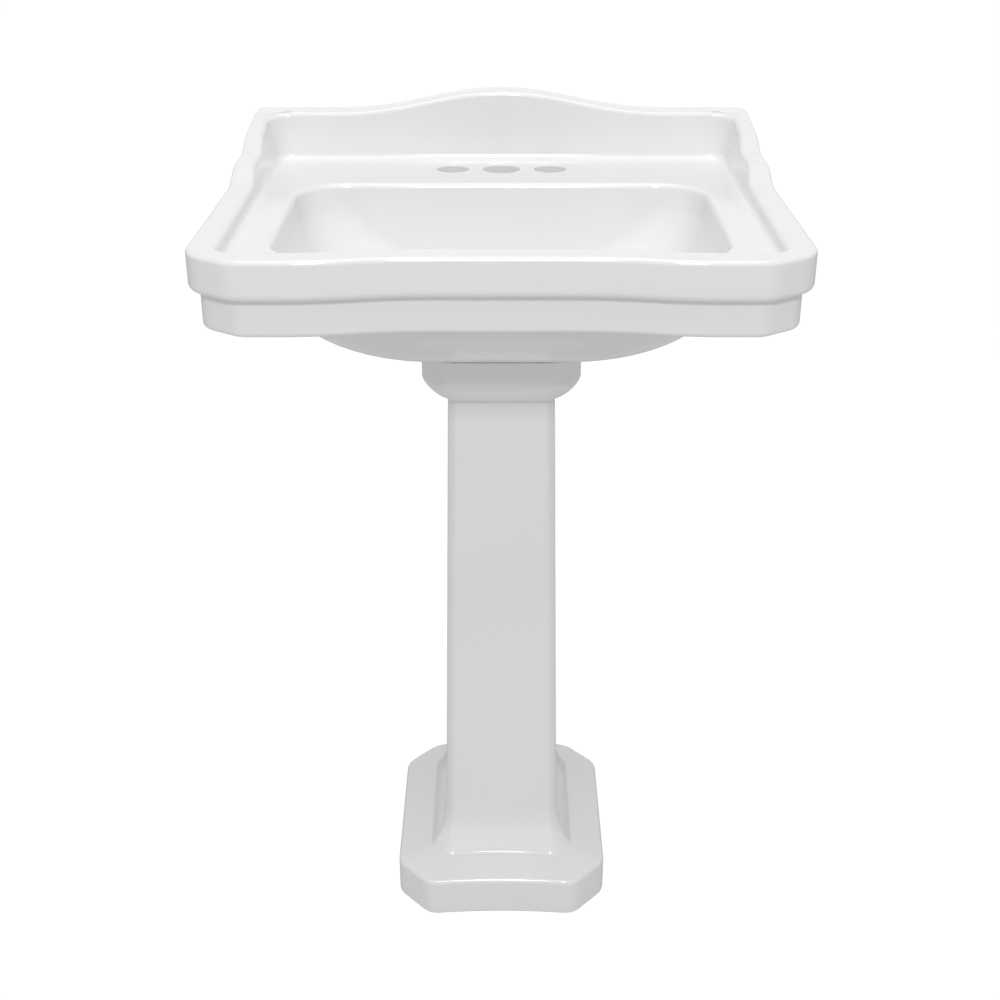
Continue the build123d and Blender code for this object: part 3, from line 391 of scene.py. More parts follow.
def buildBasin():
    b = basin
    mouthShares = bowlShares()
    evenShares = np.linspace(0, 1, halfCount)
    rings = []

    def outer(inset, z, backInset=0.0):
        rings.append(atHeight(outerHalf(inset, backInset), z))
    # apron and band, from the bottom up
    quarter = np.radians(np.linspace(0, 90, 6))
    for a in quarter:
        r = b["apronRound"]
        outer(b["overhang"] + r * (1 - math.sin(a)), b["apronBottom"] + r * (1 - math.cos(a)))
    for share in (0.35, 0.7):
        outer(b["overhang"], b["apronBottom"] + b["apronRound"] + share * b["apronFace"])
    for a in quarter:
        r = b["coveRound"]
        outer(b["overhang"] - r * (1 - math.cos(a)), b["bandBottom"] - r + r * math.sin(a))
    for a in quarter:
        r = b["bandRound"]
        outer(r * (1 - math.sin(a)), b["bandBottom"] + r * (1 - math.cos(a)))
    plan = outerHalf(0, 0)
    top = topHeights(plan)
    r = b["rimRoundOut"]
    for share in (0.3, 0.6, 0.9):
        low = b["bandBottom"] + b["bandRound"]
        rings.append(atHeight(plan, low + (top - r - low) * share))
    for a in np.radians(np.linspace(0, 90, 8)):
        inset = r * (1 - math.cos(a))
        rings.append(atHeight(outerHalf(inset, inset), top - r + r * math.sin(a)))
    # wall tops, with a slight crown, then the inner edge
    rIn = b["rimRoundIn"]
    outEdge = outerHalf(r, r)
    inPlan = innerHalf(0, 0)
    inTop = topHeights(inPlan)
    lean = math.tan(math.radians(b["wallDraft"]))
    cornerIdx = np.arange(frontCount, frontCount + stretch["corner"])
    sideWeight = np.zeros(halfCount)
    sideWeight[cornerIdx] = np.linspace(0, 1, len(cornerIdx)) ** 1.5
    backStart = halfCount - slabCount - stretch["ramp"]
    fade = 8       # points over which the lean dies out before the back
    sideWeight[cornerIdx[-1] + 1:backStart - fade] = 1
    sideWeight[backStart - fade:backStart] = np.linspace(1, 0, fade + 1)[1:]

    def inner(outset, drop):
        # inner wall at a drop below its own top, leaning out with height at the sides only
        base = innerHalf(0, outset)
        z = inTop - drop
        base[:, 0] += sideWeight * (z - b["deckZ"]) * lean
        return atHeight(base, z)
    inEdge = inner(rIn, 0)
    outRing = atHeight(outEdge, top)
    for share in (0.25, 0.5, 0.75):
        ring = outRing * (1 - share) + inEdge * share
        ring[:, 2] += b["rimCrown"] * 4 * share * (1 - share)
        rings.append(ring)
    for a in np.radians(np.linspace(0, 90, 8)):
        rings.append(inner(rIn * (1 - math.sin(a)), rIn * (1 - math.cos(a))))
    # inner walls and the fillet at the deck
    rF = b["deckFillet"]
    base = innerHalf(0, 0)
    wallTop = inTop - rIn
    for share in (0.4, 0.8):
        z = wallTop + (b["deckZ"] + rF - wallTop) * share
        wall = base.copy()
        wall[:, 0] += sideWeight * (z - b["deckZ"]) * lean
        rings.append(atHeight(wall, z))
    for a in np.radians(np.linspace(0, 90, 8)):
        z = b["deckZ"] + rF * (1 - math.sin(a))
        wall = innerHalf(0, -rF * (1 - math.cos(a)))
        wall[:, 0] += sideWeight * (z - b["deckZ"]) * lean
        rings.append(atHeight(wall, z))
    # deck to the bowl's mouth
    deckEdge = innerHalf(0, -rF)

    def bowlPlan(half, front, back, corner, weight):
        return roundedHalf(half, front, back, corner, mouthShares * (1 - weight) + evenShares * weight)

    def mouthPlan(grow):
        return bowlPlan(b["bowlHalf"] + grow, b["bowlFront"] - grow, b["bowlBack"] + grow, b["bowlCorner"] + grow, 0)
    rB = b["bowlEdge"]
    mouth = mouthPlan(rB)
    for share in (0.15, 0.4, 0.65, 0.88):
        rings.append(atHeight(deckEdge * (1 - share) + mouth * share, b["deckZ"]))
    for a in np.radians(np.linspace(0, 90, 8)):
        rings.append(atHeight(mouthPlan(rB * (1 - math.sin(a))), b["deckZ"] - rB * (1 - math.cos(a))))

    def bowlRing(angle, depth, growth, frontFullness, fullness, ease):
        share = math.sin(angle) ** (2 / fullness)
        across = math.cos(angle) ** (2 / fullness)
        ahead = (1 - share ** frontFullness) ** (1 / frontFullness)
        half = b["drainFlat"] + (b["bowlHalf"] - b["drainFlat"]) * across + growth
        front = b["drainY"] - b["drainFlat"] + (b["bowlFront"] - b["drainY"] + b["drainFlat"]) * ahead - growth
        back = b["drainY"] + b["drainFlat"] + (b["bowlBack"] - b["drainY"] - b["drainFlat"]) * across + growth
        corner = b["drainFlat"] - 1 + (b["bowlCorner"] - b["drainFlat"] + 1) * across + growth
        corner += ease * 4 * across * (1 - across)
        weight = (1 - across) ** 0.8
        return atHeight(bowlPlan(half, front, back, corner, weight), b["deckZ"] - depth * share)
    for degrees in np.linspace(10, 86, 26):
        rings.append(bowlRing(math.radians(degrees), b["bowlDepth"], 0, b["frontFullness"], b["fullness"],
                              b["cornerEase"]))
    floorZ = b["deckZ"] - b["bowlDepth"]

    def circle(radius, z):
        plan = roundedHalf(radius, b["drainY"] - radius, b["drainY"] + radius, radius, evenShares)
        rings.append(atHeight(plan, z))
    for radius, z in ((42, floorZ), (b["recessR"] + 2, floorZ), (b["recessR"] + 0.6, floorZ - 0.5),
                      (b["recessR"], floorZ - 1.6), (b["recessR"], floorZ - b["recessDepth"]),
                      (b["boreR"] + 1, floorZ - b["recessDepth"]), (b["boreR"], floorZ - b["recessDepth"] - 1),
                      (b["boreR"], b["bossZ"] + 1), (b["boreR"] + 1, b["bossZ"]), (b["bossR"] - 2, b["bossZ"]),
                      (b["bossR"] - 0.6, b["bossZ"] + 0.6), (b["bossR"], b["bossZ"] + 2)):
        circle(radius, z)
    under = floorZ - b["floorWall"]
    circle(b["bossR"], under - 4)
    circle(b["bossR"] + 1.2, under - 1.2)
    circle(b["bossR"] + 4, under)
    # outside of the bowl, up to the underside of the deck
    for degrees in np.linspace(86, 12, 20):
        rings.append(bowlRing(math.radians(degrees), b["bowlDepth"] + b["floorWall"], b["shell"],
                              b["frontFullness"], b["outerFullness"], 0))
    # underside of the deck, then down inside the apron to its rounded foot
    roof, shell, soft = b["deckZ"] - b["shell"], b["shell"], b["hollowRound"]
    rings.append(atHeight(mouthPlan(shell), roof - 4))
    rings.append(atHeight(mouthPlan(shell + soft), roof))
    hollow = b["overhang"] + shell
    for grow, z in ((soft, roof), (0, roof - soft), (0, b["apronBottom"] + soft), (-1, b["apronBottom"] + 0.8),
                    (-soft, b["apronBottom"])):
        rings.append(atHeight(outerHalf(hollow + grow, shell + grow), z))
    return ringSolid("basinChina", rings, True)


def turnedCutter(name, centre, axis, profile, count=64):
    # closed solid of revolution: profile is (distance along axis, radius) in millimetres
    axis = Vector(axis).normalized()
    side = axis.orthogonal().normalized()
    other = axis.cross(side)
    vertices, faces = [], []
    for along, radius in profile:
        for i in range(count):
            a = 2 * math.pi * i / count
            point = Vector(centre) + axis * along + (side * math.cos(a) + other * math.sin(a)) * radius
            vertices.append(point * mm)
    for r in range(len(profile) - 1):
        for i in range(count):
            j = (i + 1) % count
            faces.append((r * count + i, r * count + j, (r + 1) * count + j, (r + 1) * count + i))
    faces.append(tuple(range(count))[::-1])
    faces.append(tuple((len(profile) - 1) * count + i for i in range(count)))
    obj = meshObject(name, vertices, faces)
    fixNormals(obj)
    return obj


def joinObjects(objects):
    with bpy.context.temp_override(active_object=objects[0], selected_editable_objects=objects):
        bpy.ops.object.join()
    return objects[0]


def prism(name, outline, low, high, sideways=False):
    # polygon in plan extruded upwards, or a side view extruded sideways
    count = len(outline)
    vertices = [Vector((k, u, v) if sideways else (u, v, k)) * mm for k in (low, high) for u, v in outline]
    faces = [tuple(range(count)), tuple(range(2 * count - 1, count - 1, -1))]
    faces += [(i, (i + 1) % count, count + (i + 1) % count, count + i) for i in range(count)]
    obj = meshObject(name, vertices, faces)
    fixNormals(obj)
    return obj


def channelOutline():
    # side view of the overflow channel, inside the bowl's front wall and floor
    b = basin
    y0, z0 = b["drainY"] - b["drainFlat"], b["deckZ"]
    reach = y0 - b["bowlFront"]
    top = b["overflowZ"] + b["overflowR"]
    points = []
    for layers, order in ((2, 1), (1, -1)):
        across, down = reach + layers * b["web"], b["bowlDepth"] + layers * b["floorWeb"]
        low = math.asin((z0 - top) / down)
        arc = [(y0 - across * math.cos(a), z0 - down * math.sin(a)) for a in np.linspace(math.pi / 2, low, 40)]
        arc = [(b["drainY"], z0 - down)] + arc
        points += arc[::order]
    return points


def finishBasin(obj):
    b = basin
    # U-shaped seat over the capital, then the overflow channel, then the holes
    side, front, rail = b["capitalHalf"] - b["seatInset"], b["capitalFront"] + b["seatInset"], b["railWidth"]
    railEnd = b["bowlBack"] - b["shell"]
    outline = [(-side, front), (side, front), (side, railEnd), (side - rail, railEnd), (side - rail, front + rail),
               (rail - side, front + rail), (rail - side, railEnd), (-side, railEnd)]
    booleanWith(obj, prism("seat", outline, b["seatZ"], b["seatZ"] + b["railRise"]), "UNION")
    channel = prism("channel", channelOutline(), -b["overflowHalf"], b["overflowHalf"], True)
    booleanWith(obj, channel, "DIFFERENCE")
    start = b["bowlFront"] + 2 * b["shell"]
    reach = 2 * b["shell"] + b["web"] / 2
    cutters = [turnedCutter("overflow", (0, start, b["overflowZ"]), (0, -1, 0),
                            [(0, b["overflowR"]), (reach, b["overflowR"])])]
    for x, radius in ((-b["tapSpacing"], b["tapSideR"]), (0, b["tapCentreR"]), (b["tapSpacing"], b["tapSideR"])):
        profile = [(-20, radius)] + [(-b["tapRound"] + b["tapRound"] * math.sin(a),
                                      radius + b["tapRound"] * (1 - math.cos(a)))
                                     for a in np.radians(np.linspace(0, 90, 7))]
        profile += [(3, radius + b["tapRound"] + 0.01)]
        cutters.append(turnedCutter("tap", (x, b["tapY"], b["deckZ"]), (0, 0, 1), profile))
    for x in (-b["boltX"], b["boltX"]):
        cutters.append(turnedCutter("bolt", (x, b["halfDepth"] + 3, b["boltZ"]), (0, -1, 0),
                                    [(0, b["boltR"]), (24, b["boltR"])], 32))
    booleanWith(obj, joinObjects(cutters), "DIFFERENCE")


basinChina = buildBasin()
fixNormals(basinChina)
finishBasin(basinChina)
smoothShade(basinChina, sharpDeg["china"])
print("basin", len(basinChina.data.polygons), "faces")


# pedestal, millimetres

pedestal = {
    "topZ": 651.0, "wall": 11.0, "slotHalf": 37.0, "slotRound": 2.5,
    "footHalf": 62.6, "neckHalf": 53.5, "footZ": 108.0, "neckZ": 603.0,
    "footFront": -46.5, "footBack": 109.5, "cut": 8.0, "round": 9.0,
    "flare": 25.0, "flareHeight": 25.0, "fullness": 1.4, "topRound": 1.6, "lipRise": 1.5, "lip": 3.5,
    "plinthHalf": 117.5, "plinthFront": -101.5, "plinthBack": 163.5,
    "plinthCutAcross": 36.0, "plinthCutAlong": 39.0, "plinthRound": 26.0, "plinthHeight": 45.0,
    "plinthSag": 4.4, "shoulder": 6.0, "footRound": 3.0,
    "ledgeRise": 12.0, "ledgeRun": 38.0, "ledgeReach": 41.0, "footFlare": 16.5, "footFullness": 2.2,
    "innerFoot": 2.0, "roofDrop": 3.0, "innerLip": 1.5, "lipSpread": 0.3,
    "screwX": 62.0, "screwY": 137.5, "screwR": 3.5, "lug": 34.0, "lugHeight": 10.0,
}


cornerTan = math.tan(math.radians(22.5))       # half the turn at a 45 degree corner


def cantedHalf(half, front, back, cutAcross, cutAlong, rounding, sag):
    # right half of the column's plan, from the front middle to the slot at the back
    corner = np.array([half - cutAcross, front])
    cutEnd = np.array([half, front + cutAlong])
    backA = np.array([half, back - cutAlong])
    backB = np.array([half - cutAcross, back])
    rim = np.array([pedestal["slotHalf"], back])
    width = corner[0]
    t = np.linspace(0, 1, 20, endpoint=False)
    reach = np.linalg.norm(cutEnd - corner)
    radius = min(rounding, 0.45 * reach / cornerTan)       # leaves a flat between the two rounds of a cut
    first = filletArc(np.array([0, front]), corner, cutEnd, radius, 8)
    second = filletArc(corner, cutEnd, backA, radius, 8)
    third = filletArc(cutEnd, backA, backB, radius, 8)
    endX = pedestal["slotHalf"] + pedestal["slotRound"]
    room = max(backB[0] - endX - 0.5, 0.3)
    fourth = filletArc(backA, backB, rim, min(radius, room / cornerTan), 8)
    x = t * first[0][0]
    lead = np.stack([x, front + sag * (1 - (x / width) ** 2)], 1)
    first[:, 1] += sag * np.clip(1 - (first[:, 0] / width) ** 2, 0, 1)
    parts = [lead, first, linePoints(first[-1], second[0], 5)[1:], second, linePoints(second[-1], third[0], 13)[1:],
             third, linePoints(third[-1], fourth[0], 5)[1:], fourth,
             linePoints(fourth[-1], (endX, back), 5)[1:], [np.array([endX, back])]]
    return np.concatenate(parts)


def columnSection(outside, inside):
    # closed C: outside from the slot's right lip round the front to its left lip, then back along the inside
    p = pedestal
    r = p["slotRound"]
    lipOut = arcPoints((outside[-1][0], outside[-1][1] - r), r, 90, 180, 5)[1:]
    lipIn = arcPoints((inside[-1][0], inside[-1][1] + r), r, 180, 270, 5)[:-1]
    rightOut = np.concatenate([outside, lipOut])
    rightIn = np.concatenate([inside, lipIn[::-1]])
    leftOut, leftIn = rightOut[1:].copy(), rightIn[1:].copy()
    leftOut[:, 0] *= -1
    leftIn[:, 0] *= -1
    return np.concatenate([leftOut[::-1], rightOut]), np.concatenate([leftIn[::-1], rightIn])


def shaftHalf(z, growth, sag=0.0):
    # the column's plan at a height, grown outwards, with the middle of its front held back by sag
    p = pedestal
    taper = (z - p["footZ"]) / (p["neckZ"] - p["footZ"]) * (p["footHalf"] - p["neckHalf"])
    spread = 0.6 * max(growth, 0)
    return cantedHalf(p["footHalf"] - taper + growth, p["footFront"] + taper - growth - sag,
                      p["footBack"] - taper + growth, p["cut"] + spread, p["cut"] + spread, p["round"] + spread, sag)


def plinthHalfPlan(inset):
    p = pedestal
    trim = inset * cornerTan
    return cantedHalf(p["plinthHalf"] - inset, p["plinthFront"] + inset, p["plinthBack"] - inset,
                      p["plinthCutAcross"] - trim, p["plinthCutAlong"] - trim, p["plinthRound"], p["plinthSag"])


def buildPedestal():
    p = pedestal
    levels = []          # (outside half, inside half, z outside, z inside)
    wall = p["wall"]
    flareZ = p["plinthHeight"] + p["ledgeRise"]
    ledgeOut = shaftHalf(flareZ, p["footFlare"] + 1, p["plinthSag"])
    ledgeIn = shaftHalf(flareZ, p["footFlare"] + 1 - wall, p["plinthSag"])

    def level(outside, inside, zOut, zIn):
        levels.append((outside, inside, zOut, zIn))
    for a in np.radians(np.linspace(0, 90, 5)):
        r = p["footRound"]
        level(plinthHalfPlan(r * (1 - math.sin(a))), plinthHalfPlan(wall - p["innerFoot"] * (1 - math.sin(a))),
              r * (1 - math.cos(a)), p["innerFoot"] * (1 - math.cos(a)))
    roofIn = p["plinthHeight"] - wall
    for share in (0.33, 0.66):
        level(plinthHalfPlan(0), plinthHalfPlan(wall),
              p["footRound"] + share * (p["plinthHeight"] - p["footRound"] - p["shoulder"]),
              p["innerFoot"] + share * (roofIn - p["innerFoot"] - p["roofDrop"]))
    # shoulder: the plinth's side rolls over on to the ledge
    top = plinthHalfPlan(0)
    rollEnd = math.pi / 2 - math.atan2(p["ledgeRise"], p["ledgeRun"])
    r = p["shoulder"]
    reach = r * math.tan(rollEnd / 2)
    for a in np.linspace(0, rollEnd, 8):
        inset = r * (1 - math.cos(a))
        z = p["plinthHeight"] - reach + r * math.sin(a)
        share = inset / p["ledgeReach"]
        level(top * (1 - share) + ledgeOut * share, plinthHalfPlan(wall), z,
              roofIn - p["roofDrop"] + p["roofDrop"] * a / rollEnd)
    lastShare = r * (1 - math.cos(rollEnd)) / p["ledgeReach"]
    lastZ = p["plinthHeight"] - reach + r * math.sin(rollEnd)
    for share in (0.2, 0.4, 0.6, 0.8):
        s = lastShare + (1 - lastShare) * share
        level(top * (1 - s) + ledgeOut * s, plinthHalfPlan(wall) * (1 - share) + ledgeIn * share,
              lastZ + (flareZ - lastZ) * share, roofIn + (flareZ - wall - roofIn) * share)
    for share in np.linspace(0, 1, 14) ** 1.3:
        rise = (p["footZ"] - flareZ) * share
        riseIn = (p["footZ"] - flareZ + wall) * share
        grown = p["footFlare"] * (1 - share) ** p["footFullness"]
        sag = p["plinthSag"] * grown / p["footFlare"]
        level(shaftHalf(flareZ + rise, grown, sag), shaftHalf(flareZ - wall + riseIn, grown - wall, sag),
              flareZ + rise, flareZ - wall + riseIn)
    for share in np.linspace(0, 1, 14)[1:]:
        z = p["footZ"] + (p["neckZ"] - p["footZ"]) * share
        level(shaftHalf(z, 0), shaftHalf(z, -wall), z, z)
    for degrees in np.linspace(8, 90, 14):
        a = math.radians(degrees)
        grown = p["flare"] * math.sin(a) ** (2 / p["fullness"])
        rise = p["flareHeight"] * (1 - math.cos(a) ** (2 / p["fullness"]))
        straightGrown = p["flare"] * rise / p["flareHeight"]
        level(shaftHalf(p["neckZ"], grown), shaftHalf(p["neckZ"], straightGrown - wall),
              p["neckZ"] + rise, p["neckZ"] + rise)
    for a in np.radians(np.linspace(0, 90, 6)):
        r = p["topRound"]
        level(shaftHalf(p["neckZ"], p["flare"] - r * (1 - math.cos(a))),
              shaftHalf(p["neckZ"], p["flare"] - wall + p["innerLip"] * (1 - math.cos(a))),
              p["topZ"] + p["lipRise"] - r + r * math.sin(a), p["topZ"] - p["innerLip"] + p["innerLip"] * math.sin(a))
    # a low lip round the outside hides the rubber strips
    for share in (0.5, 1.0):
        level(shaftHalf(p["neckZ"], p["flare"] - r - p["lip"] * share),
              shaftHalf(p["neckZ"], p["flare"] - wall + p["innerLip"] + p["lipSpread"] * share),
              p["topZ"] + p["lipRise"] * (1 - share), p["topZ"])
    loops = []
    for outside, inside, zOut, zIn in levels:
        out, inn = columnSection(outside, inside)
        out = np.column_stack([out, np.full(len(out), zOut)])
        inn = np.column_stack([inn, np.full(len(inn), zIn)])
        loops.append(np.concatenate([out, inn[::-1]]))
    obj = ringSolid("pedestalChina", loops, False)
    half = len(loops[0]) // 2
    work = bmesh.new()
    work.from_mesh(obj.data)
    work.verts.ensure_lookup_table()
    for start in (0, (len(loops) - 1) * 2 * half):
        for i in range(half - 1):
            j = 2 * half - 1 - i
            work.faces.new([work.verts[start + k] for k in (i, i + 1, j - 1, j)])
    work.to_mesh(obj.data)
    work.free()
    return obj


def addLugs(obj):
    p = pedestal
    parts = []
    for side in (-1, 1):
        depth = 2 * (p["plinthBack"] - p["wall"] / 2 - p["screwY"])
        x, y = side * p["screwX"], p["screwY"]
        half = p["lug"] / 2
        outline = [(x - half, y - depth / 2 + 4), (x - half + 4, y - depth / 2), (x + half - 4, y - depth / 2),
                   (x + half, y - depth / 2 + 4), (x + half, y + depth / 2), (x - half, y + depth / 2)]
        parts.append(prism("lug", outline, 0.0, p["lugHeight"]))
    booleanWith(obj, joinObjects(parts), "UNION")
    holes = [turnedCutter("hole", (side * p["screwX"], p["screwY"], -2), (0, 0, 1),
                          [(0, p["screwR"]), (16, p["screwR"])], 32) for side in (-1, 1)]
    booleanWith(obj, joinObjects(holes), "DIFFERENCE")


pedestalChina = buildPedestal()
fixNormals(pedestalChina)
addLugs(pedestalChina)
smoothShade(pedestalChina, sharpDeg["china"])
print("pedestal", len(pedestalChina.data.polygons), "faces")


# materials

def glazedChina():
    # vitreous china under a thick white glaze: clear gloss, faint waviness,
    # and bare biscuit within 0.8 mm of the floor and 0.6 mm of the wall
    material, tree = newMaterial("glazedVitreousChina")
    place = addNode(tree, "ShaderNodeTexCoord")
    wave = addNode(tree, "ShaderNodeTexNoise", {"noise_dimensions": "3D"}, Vector=place.outputs["Object"],
                   Scale=28.0, Detail=2.0, Roughness=0.4)        # glaze ripples about 35 mm apart
    skin = addNode(tree, "ShaderNodeTexNoise", {}, Vector=place.outputs["Object"], Scale=420.0, Detail=1.0)
    ripple = addNode(tree, "ShaderNodeBump", {}, Strength=0.12, Distance=0.0006, Height=wave.outputs["Fac"])
    peel = addNode(tree, "ShaderNodeBump", {}, Strength=0.05, Distance=0.0001, Height=skin.outputs["Fac"],
                   Normal=ripple.outputs["Normal"])
    tone = addNode(tree, "ShaderNodeTexNoise", {}, Vector=place.outputs["Object"], Scale=6.0, Detail=1.0)
    body = addNode(tree, "ShaderNodeMix", {"data_type": "RGBA"}, Factor=tone.outputs["Fac"])
    body.inputs[6].default_value = linearColour("#F1F1F0")
    body.inputs[7].default_value = linearColour("#EDEDEC")
    glaze = addNode(tree, "ShaderNodeBsdfPrincipled", {}, Base_Color=body.outputs[2], Roughness=0.09,
                    Normal=peel.outputs["Normal"])
    glaze.inputs["IOR"].default_value = 1.5
    glaze.inputs["Coat Weight"].default_value = 0.3
    glaze.inputs["Coat Roughness"].default_value = 0.03
    grain = addNode(tree, "ShaderNodeTexNoise", {}, Vector=place.outputs["Object"], Scale=900.0, Detail=3.0)
    grit = addNode(tree, "ShaderNodeBump", {}, Strength=0.3, Distance=0.0002, Height=grain.outputs["Fac"])
    biscuit = addNode(tree, "ShaderNodeBsdfPrincipled", {}, Base_Color=linearColour("#E6E0D4"), Roughness=0.8,
                      Normal=grit.outputs["Normal"])
    split = addNode(tree, "ShaderNodeSeparateXYZ", {}, Vector=place.outputs["Object"])
    low = addNode(tree, "ShaderNodeMath", {"operation": "LESS_THAN"}, i0=split.outputs["Z"], i1=0.0008)
    back = addNode(tree, "ShaderNodeMath", {"operation": "GREATER_THAN"}, i0=split.outputs["Y"], i1=0.2224)
    bare = addNode(tree, "ShaderNodeMath", {"operation": "MAXIMUM"}, i0=low.outputs[0], i1=back.outputs[0])
    mix = addNode(tree, "ShaderNodeMixShader", {}, Fac=bare.outputs[0], i1=glaze.outputs[0], i2=biscuit.outputs[0])
    addNode(tree, "ShaderNodeOutputMaterial", {}, Surface=mix.outputs[0])
    return material


def platedChrome():
    # chrome plate over brass: mirror bright, with faint polishing waviness
    material, tree = newMaterial("polishedChromePlate")
    place = addNode(tree, "ShaderNodeTexCoord")
    haze = addNode(tree, "ShaderNodeTexNoise", {}, Vector=place.outputs["Object"], Scale=60.0, Detail=2.0)
    rough = addNode(tree, "ShaderNodeMapRange", {}, Value=haze.outputs["Fac"], To_Min=0.05, To_Max=0.12)
    bump = addNode(tree, "ShaderNodeBump", {}, Strength=0.04, Distance=0.0002, Height=haze.outputs["Fac"])
    shader = addNode(tree, "ShaderNodeBsdfPrincipled", {}, Base_Color=linearColour("#D6D8DA"), Metallic=1.0,
                     Roughness=rough.outputs[0], Normal=bump.outputs["Normal"])
    addNode(tree, "ShaderNodeOutputMaterial", {}, Surface=shader.outputs[0])
    return material


def machinedBrass():
    # turned brass: fine lathe rings round the drain's axis, 6.5 mm behind the origin
    material, tree = newMaterial("machinedBrass")
    place = addNode(tree, "ShaderNodeTexCoord")
    shift = addNode(tree, "ShaderNodeMapping", {}, Vector=place.outputs["Object"], Location=(0, -0.0065, 0))
    ringsNode = addNode(tree, "ShaderNodeTexWave", {"wave_type": "RINGS", "rings_direction": "Z"},
                        Vector=shift.outputs[0], Scale=500.0, Distortion=0.3)
    bump = addNode(tree, "ShaderNodeBump", {}, Strength=0.15, Distance=0.00005, Height=ringsNode.outputs["Fac"])
    shader = addNode(tree, "ShaderNodeBsdfPrincipled", {}, Base_Color=linearColour("#C9A75C"), Metallic=1.0,
                     Roughness=0.28, Normal=bump.outputs["Normal"])
    addNode(tree, "ShaderNodeOutputMaterial", {}, Surface=shader.outputs[0])
    return material


def blackRubber():
    # moulded EPDM: dull, finely grained
    material, tree = newMaterial("mouldedRubber")
    place = addNode(tree, "ShaderNodeTexCoord")
    grain = addNode(tree, "ShaderNodeTexNoise", {}, Vector=place.outputs["Object"], Scale=1200.0, Detail=3.0)
    bump = addNode(tree, "ShaderNodeBump", {}, Strength=0.25, Distance=0.0001, Height=grain.outputs["Fac"])
    shader = addNode(tree, "ShaderNodeBsdfPrincipled", {}, Base_Color=linearColour("#26262A"), Roughness=0.72,
                     Normal=bump.outputs["Normal"])
    addNode(tree, "ShaderNodeOutputMaterial", {}, Surface=shader.outputs[0])
    return material


def mouldedPlastic():
    # polypropylene: soft sheen, fine mould texture
    material, tree = newMaterial("mouldedPolypropylene")
    place = addNode(tree, "ShaderNodeTexCoord")
    grain = addNode(tree, "ShaderNodeTexNoise", {}, Vector=place.outputs["Object"], Scale=700.0, Detail=2.0)
    bump = addNode(tree, "ShaderNodeBump", {}, Strength=0.15, Distance=0.0001, Height=grain.outputs["Fac"])
    shader = addNode(tree, "ShaderNodeBsdfPrincipled", {}, Base_Color=linearColour("#E2E2DE"), Roughness=0.45,
                     Normal=bump.outputs["Normal"])
    addNode(tree, "ShaderNodeOutputMaterial", {}, Surface=shader.outputs[0])
    return material


def drawnSteel():
    # bright drawn spring steel and screw steel
    material, tree = newMaterial("drawnSteel")
    place = addNode(tree, "ShaderNodeTexCoord")
    haze = addNode(tree, "ShaderNodeTexNoise", {}, Vector=place.outputs["Object"], Scale=900.0, Detail=2.0)
    rough = addNode(tree, "ShaderNodeMapRange", {}, Value=haze.outputs["Fac"], To_Min=0.2, To_Max=0.35)
    shader = addNode(tree, "ShaderNodeBsdfPrincipled", {}, Base_Color=linearColour("#C3C3C5"), Metallic=1.0,
                     Roughness=rough.outputs[0])
    addNode(tree, "ShaderNodeOutputMaterial", {}, Surface=shader.outputs[0])
    return material


finishes = {"china": glazedChina(), "chrome": platedChrome(), "brass": machinedBrass(), "rubber": blackRubber(),
            "plastic": mouldedPlastic(), "steel": drawnSteel()}
slotOf = {entry["node"]: entry["material_slot"] for entry in frame["record"]["subparts"]}
for nodeName, nodeObject in frame["nodes"].items():
    nodeObject.data.materials.clear()
    nodeObject.data.materials.append(finishes[slotOf[nodeName]])

for piece, nodeName in ((basinChina, "basin"), (pedestalChina, "pedestal")):
    piece.data.materials.clear()
    piece.data.materials.append(finishes["china"])
    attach(piece, "stand")
    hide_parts(nodeName)
print("materials set")


# slip nuts of the trap, millimetres: a turned body with grip ribs all round
slipNut = {"outer": 22.0, "bore": 19.1, "lipBore": 16.2, "lip": 3.0, "edge": 0.6, "ribs": 12, "ribRadius": 1.5,
           "ribTrim": 0.8, "ribSides": 14, "steps": 72}


def ribTree():
    # ribs instanced round a circle and merged with the body
    group = bpy.data.node_groups.new("ribbedNut", "GeometryNodeTree")
    sockets = {}
    for name, kind in (("Body", "Geometry"), ("Rib Count", "Int"), ("Rib Radius", "Float"), ("Rib Height", "Float"),
                       ("Ring Radius", "Float"), ("Centre", "Vector"), ("Finish", "Material")):
        sockets[name] = group.interface.new_socket(name, in_out="INPUT", socket_type="NodeSocket" + kind).identifier
    group.interface.new_socket("Nut", in_out="OUTPUT", socket_type="NodeSocketGeometry")
    start = addNode(group, "NodeGroupInput").outputs
    rib = addNode(group, "GeometryNodeMeshCylinder", {}, Vertices=slipNut["ribSides"], Radius=start["Rib Radius"],
                  Depth=start["Rib Height"])
    circle = addNode(group, "GeometryNodeMeshCircle", {}, Vertices=start["Rib Count"], Radius=start["Ring Radius"])
    moved = addNode(group, "GeometryNodeTransform", {}, Geometry=circle.outputs["Mesh"], Translation=start["Centre"])
    ribs = addNode(group, "GeometryNodeInstanceOnPoints", {}, Points=moved.outputs["Geometry"],
                   Instance=rib.outputs["Mesh"])
    merged = addNode(group, "GeometryNodeMeshBoolean", {"operation": "UNION", "solver": "EXACT"})
    group.links.new(start["Body"], merged.inputs[1])
    group.links.new(ribs.outputs["Instances"], merged.inputs[1])
    real = addNode(group, "GeometryNodeRealizeInstances", {}, Geometry=merged.outputs["Mesh"])
    coated = addNode(group, "GeometryNodeSetMaterial", {}, Geometry=real.outputs["Geometry"],
                     Material=start["Finish"])
    addNode(group, "NodeGroupOutput", {}, Nut=coated.outputs["Geometry"])
    return group, sockets


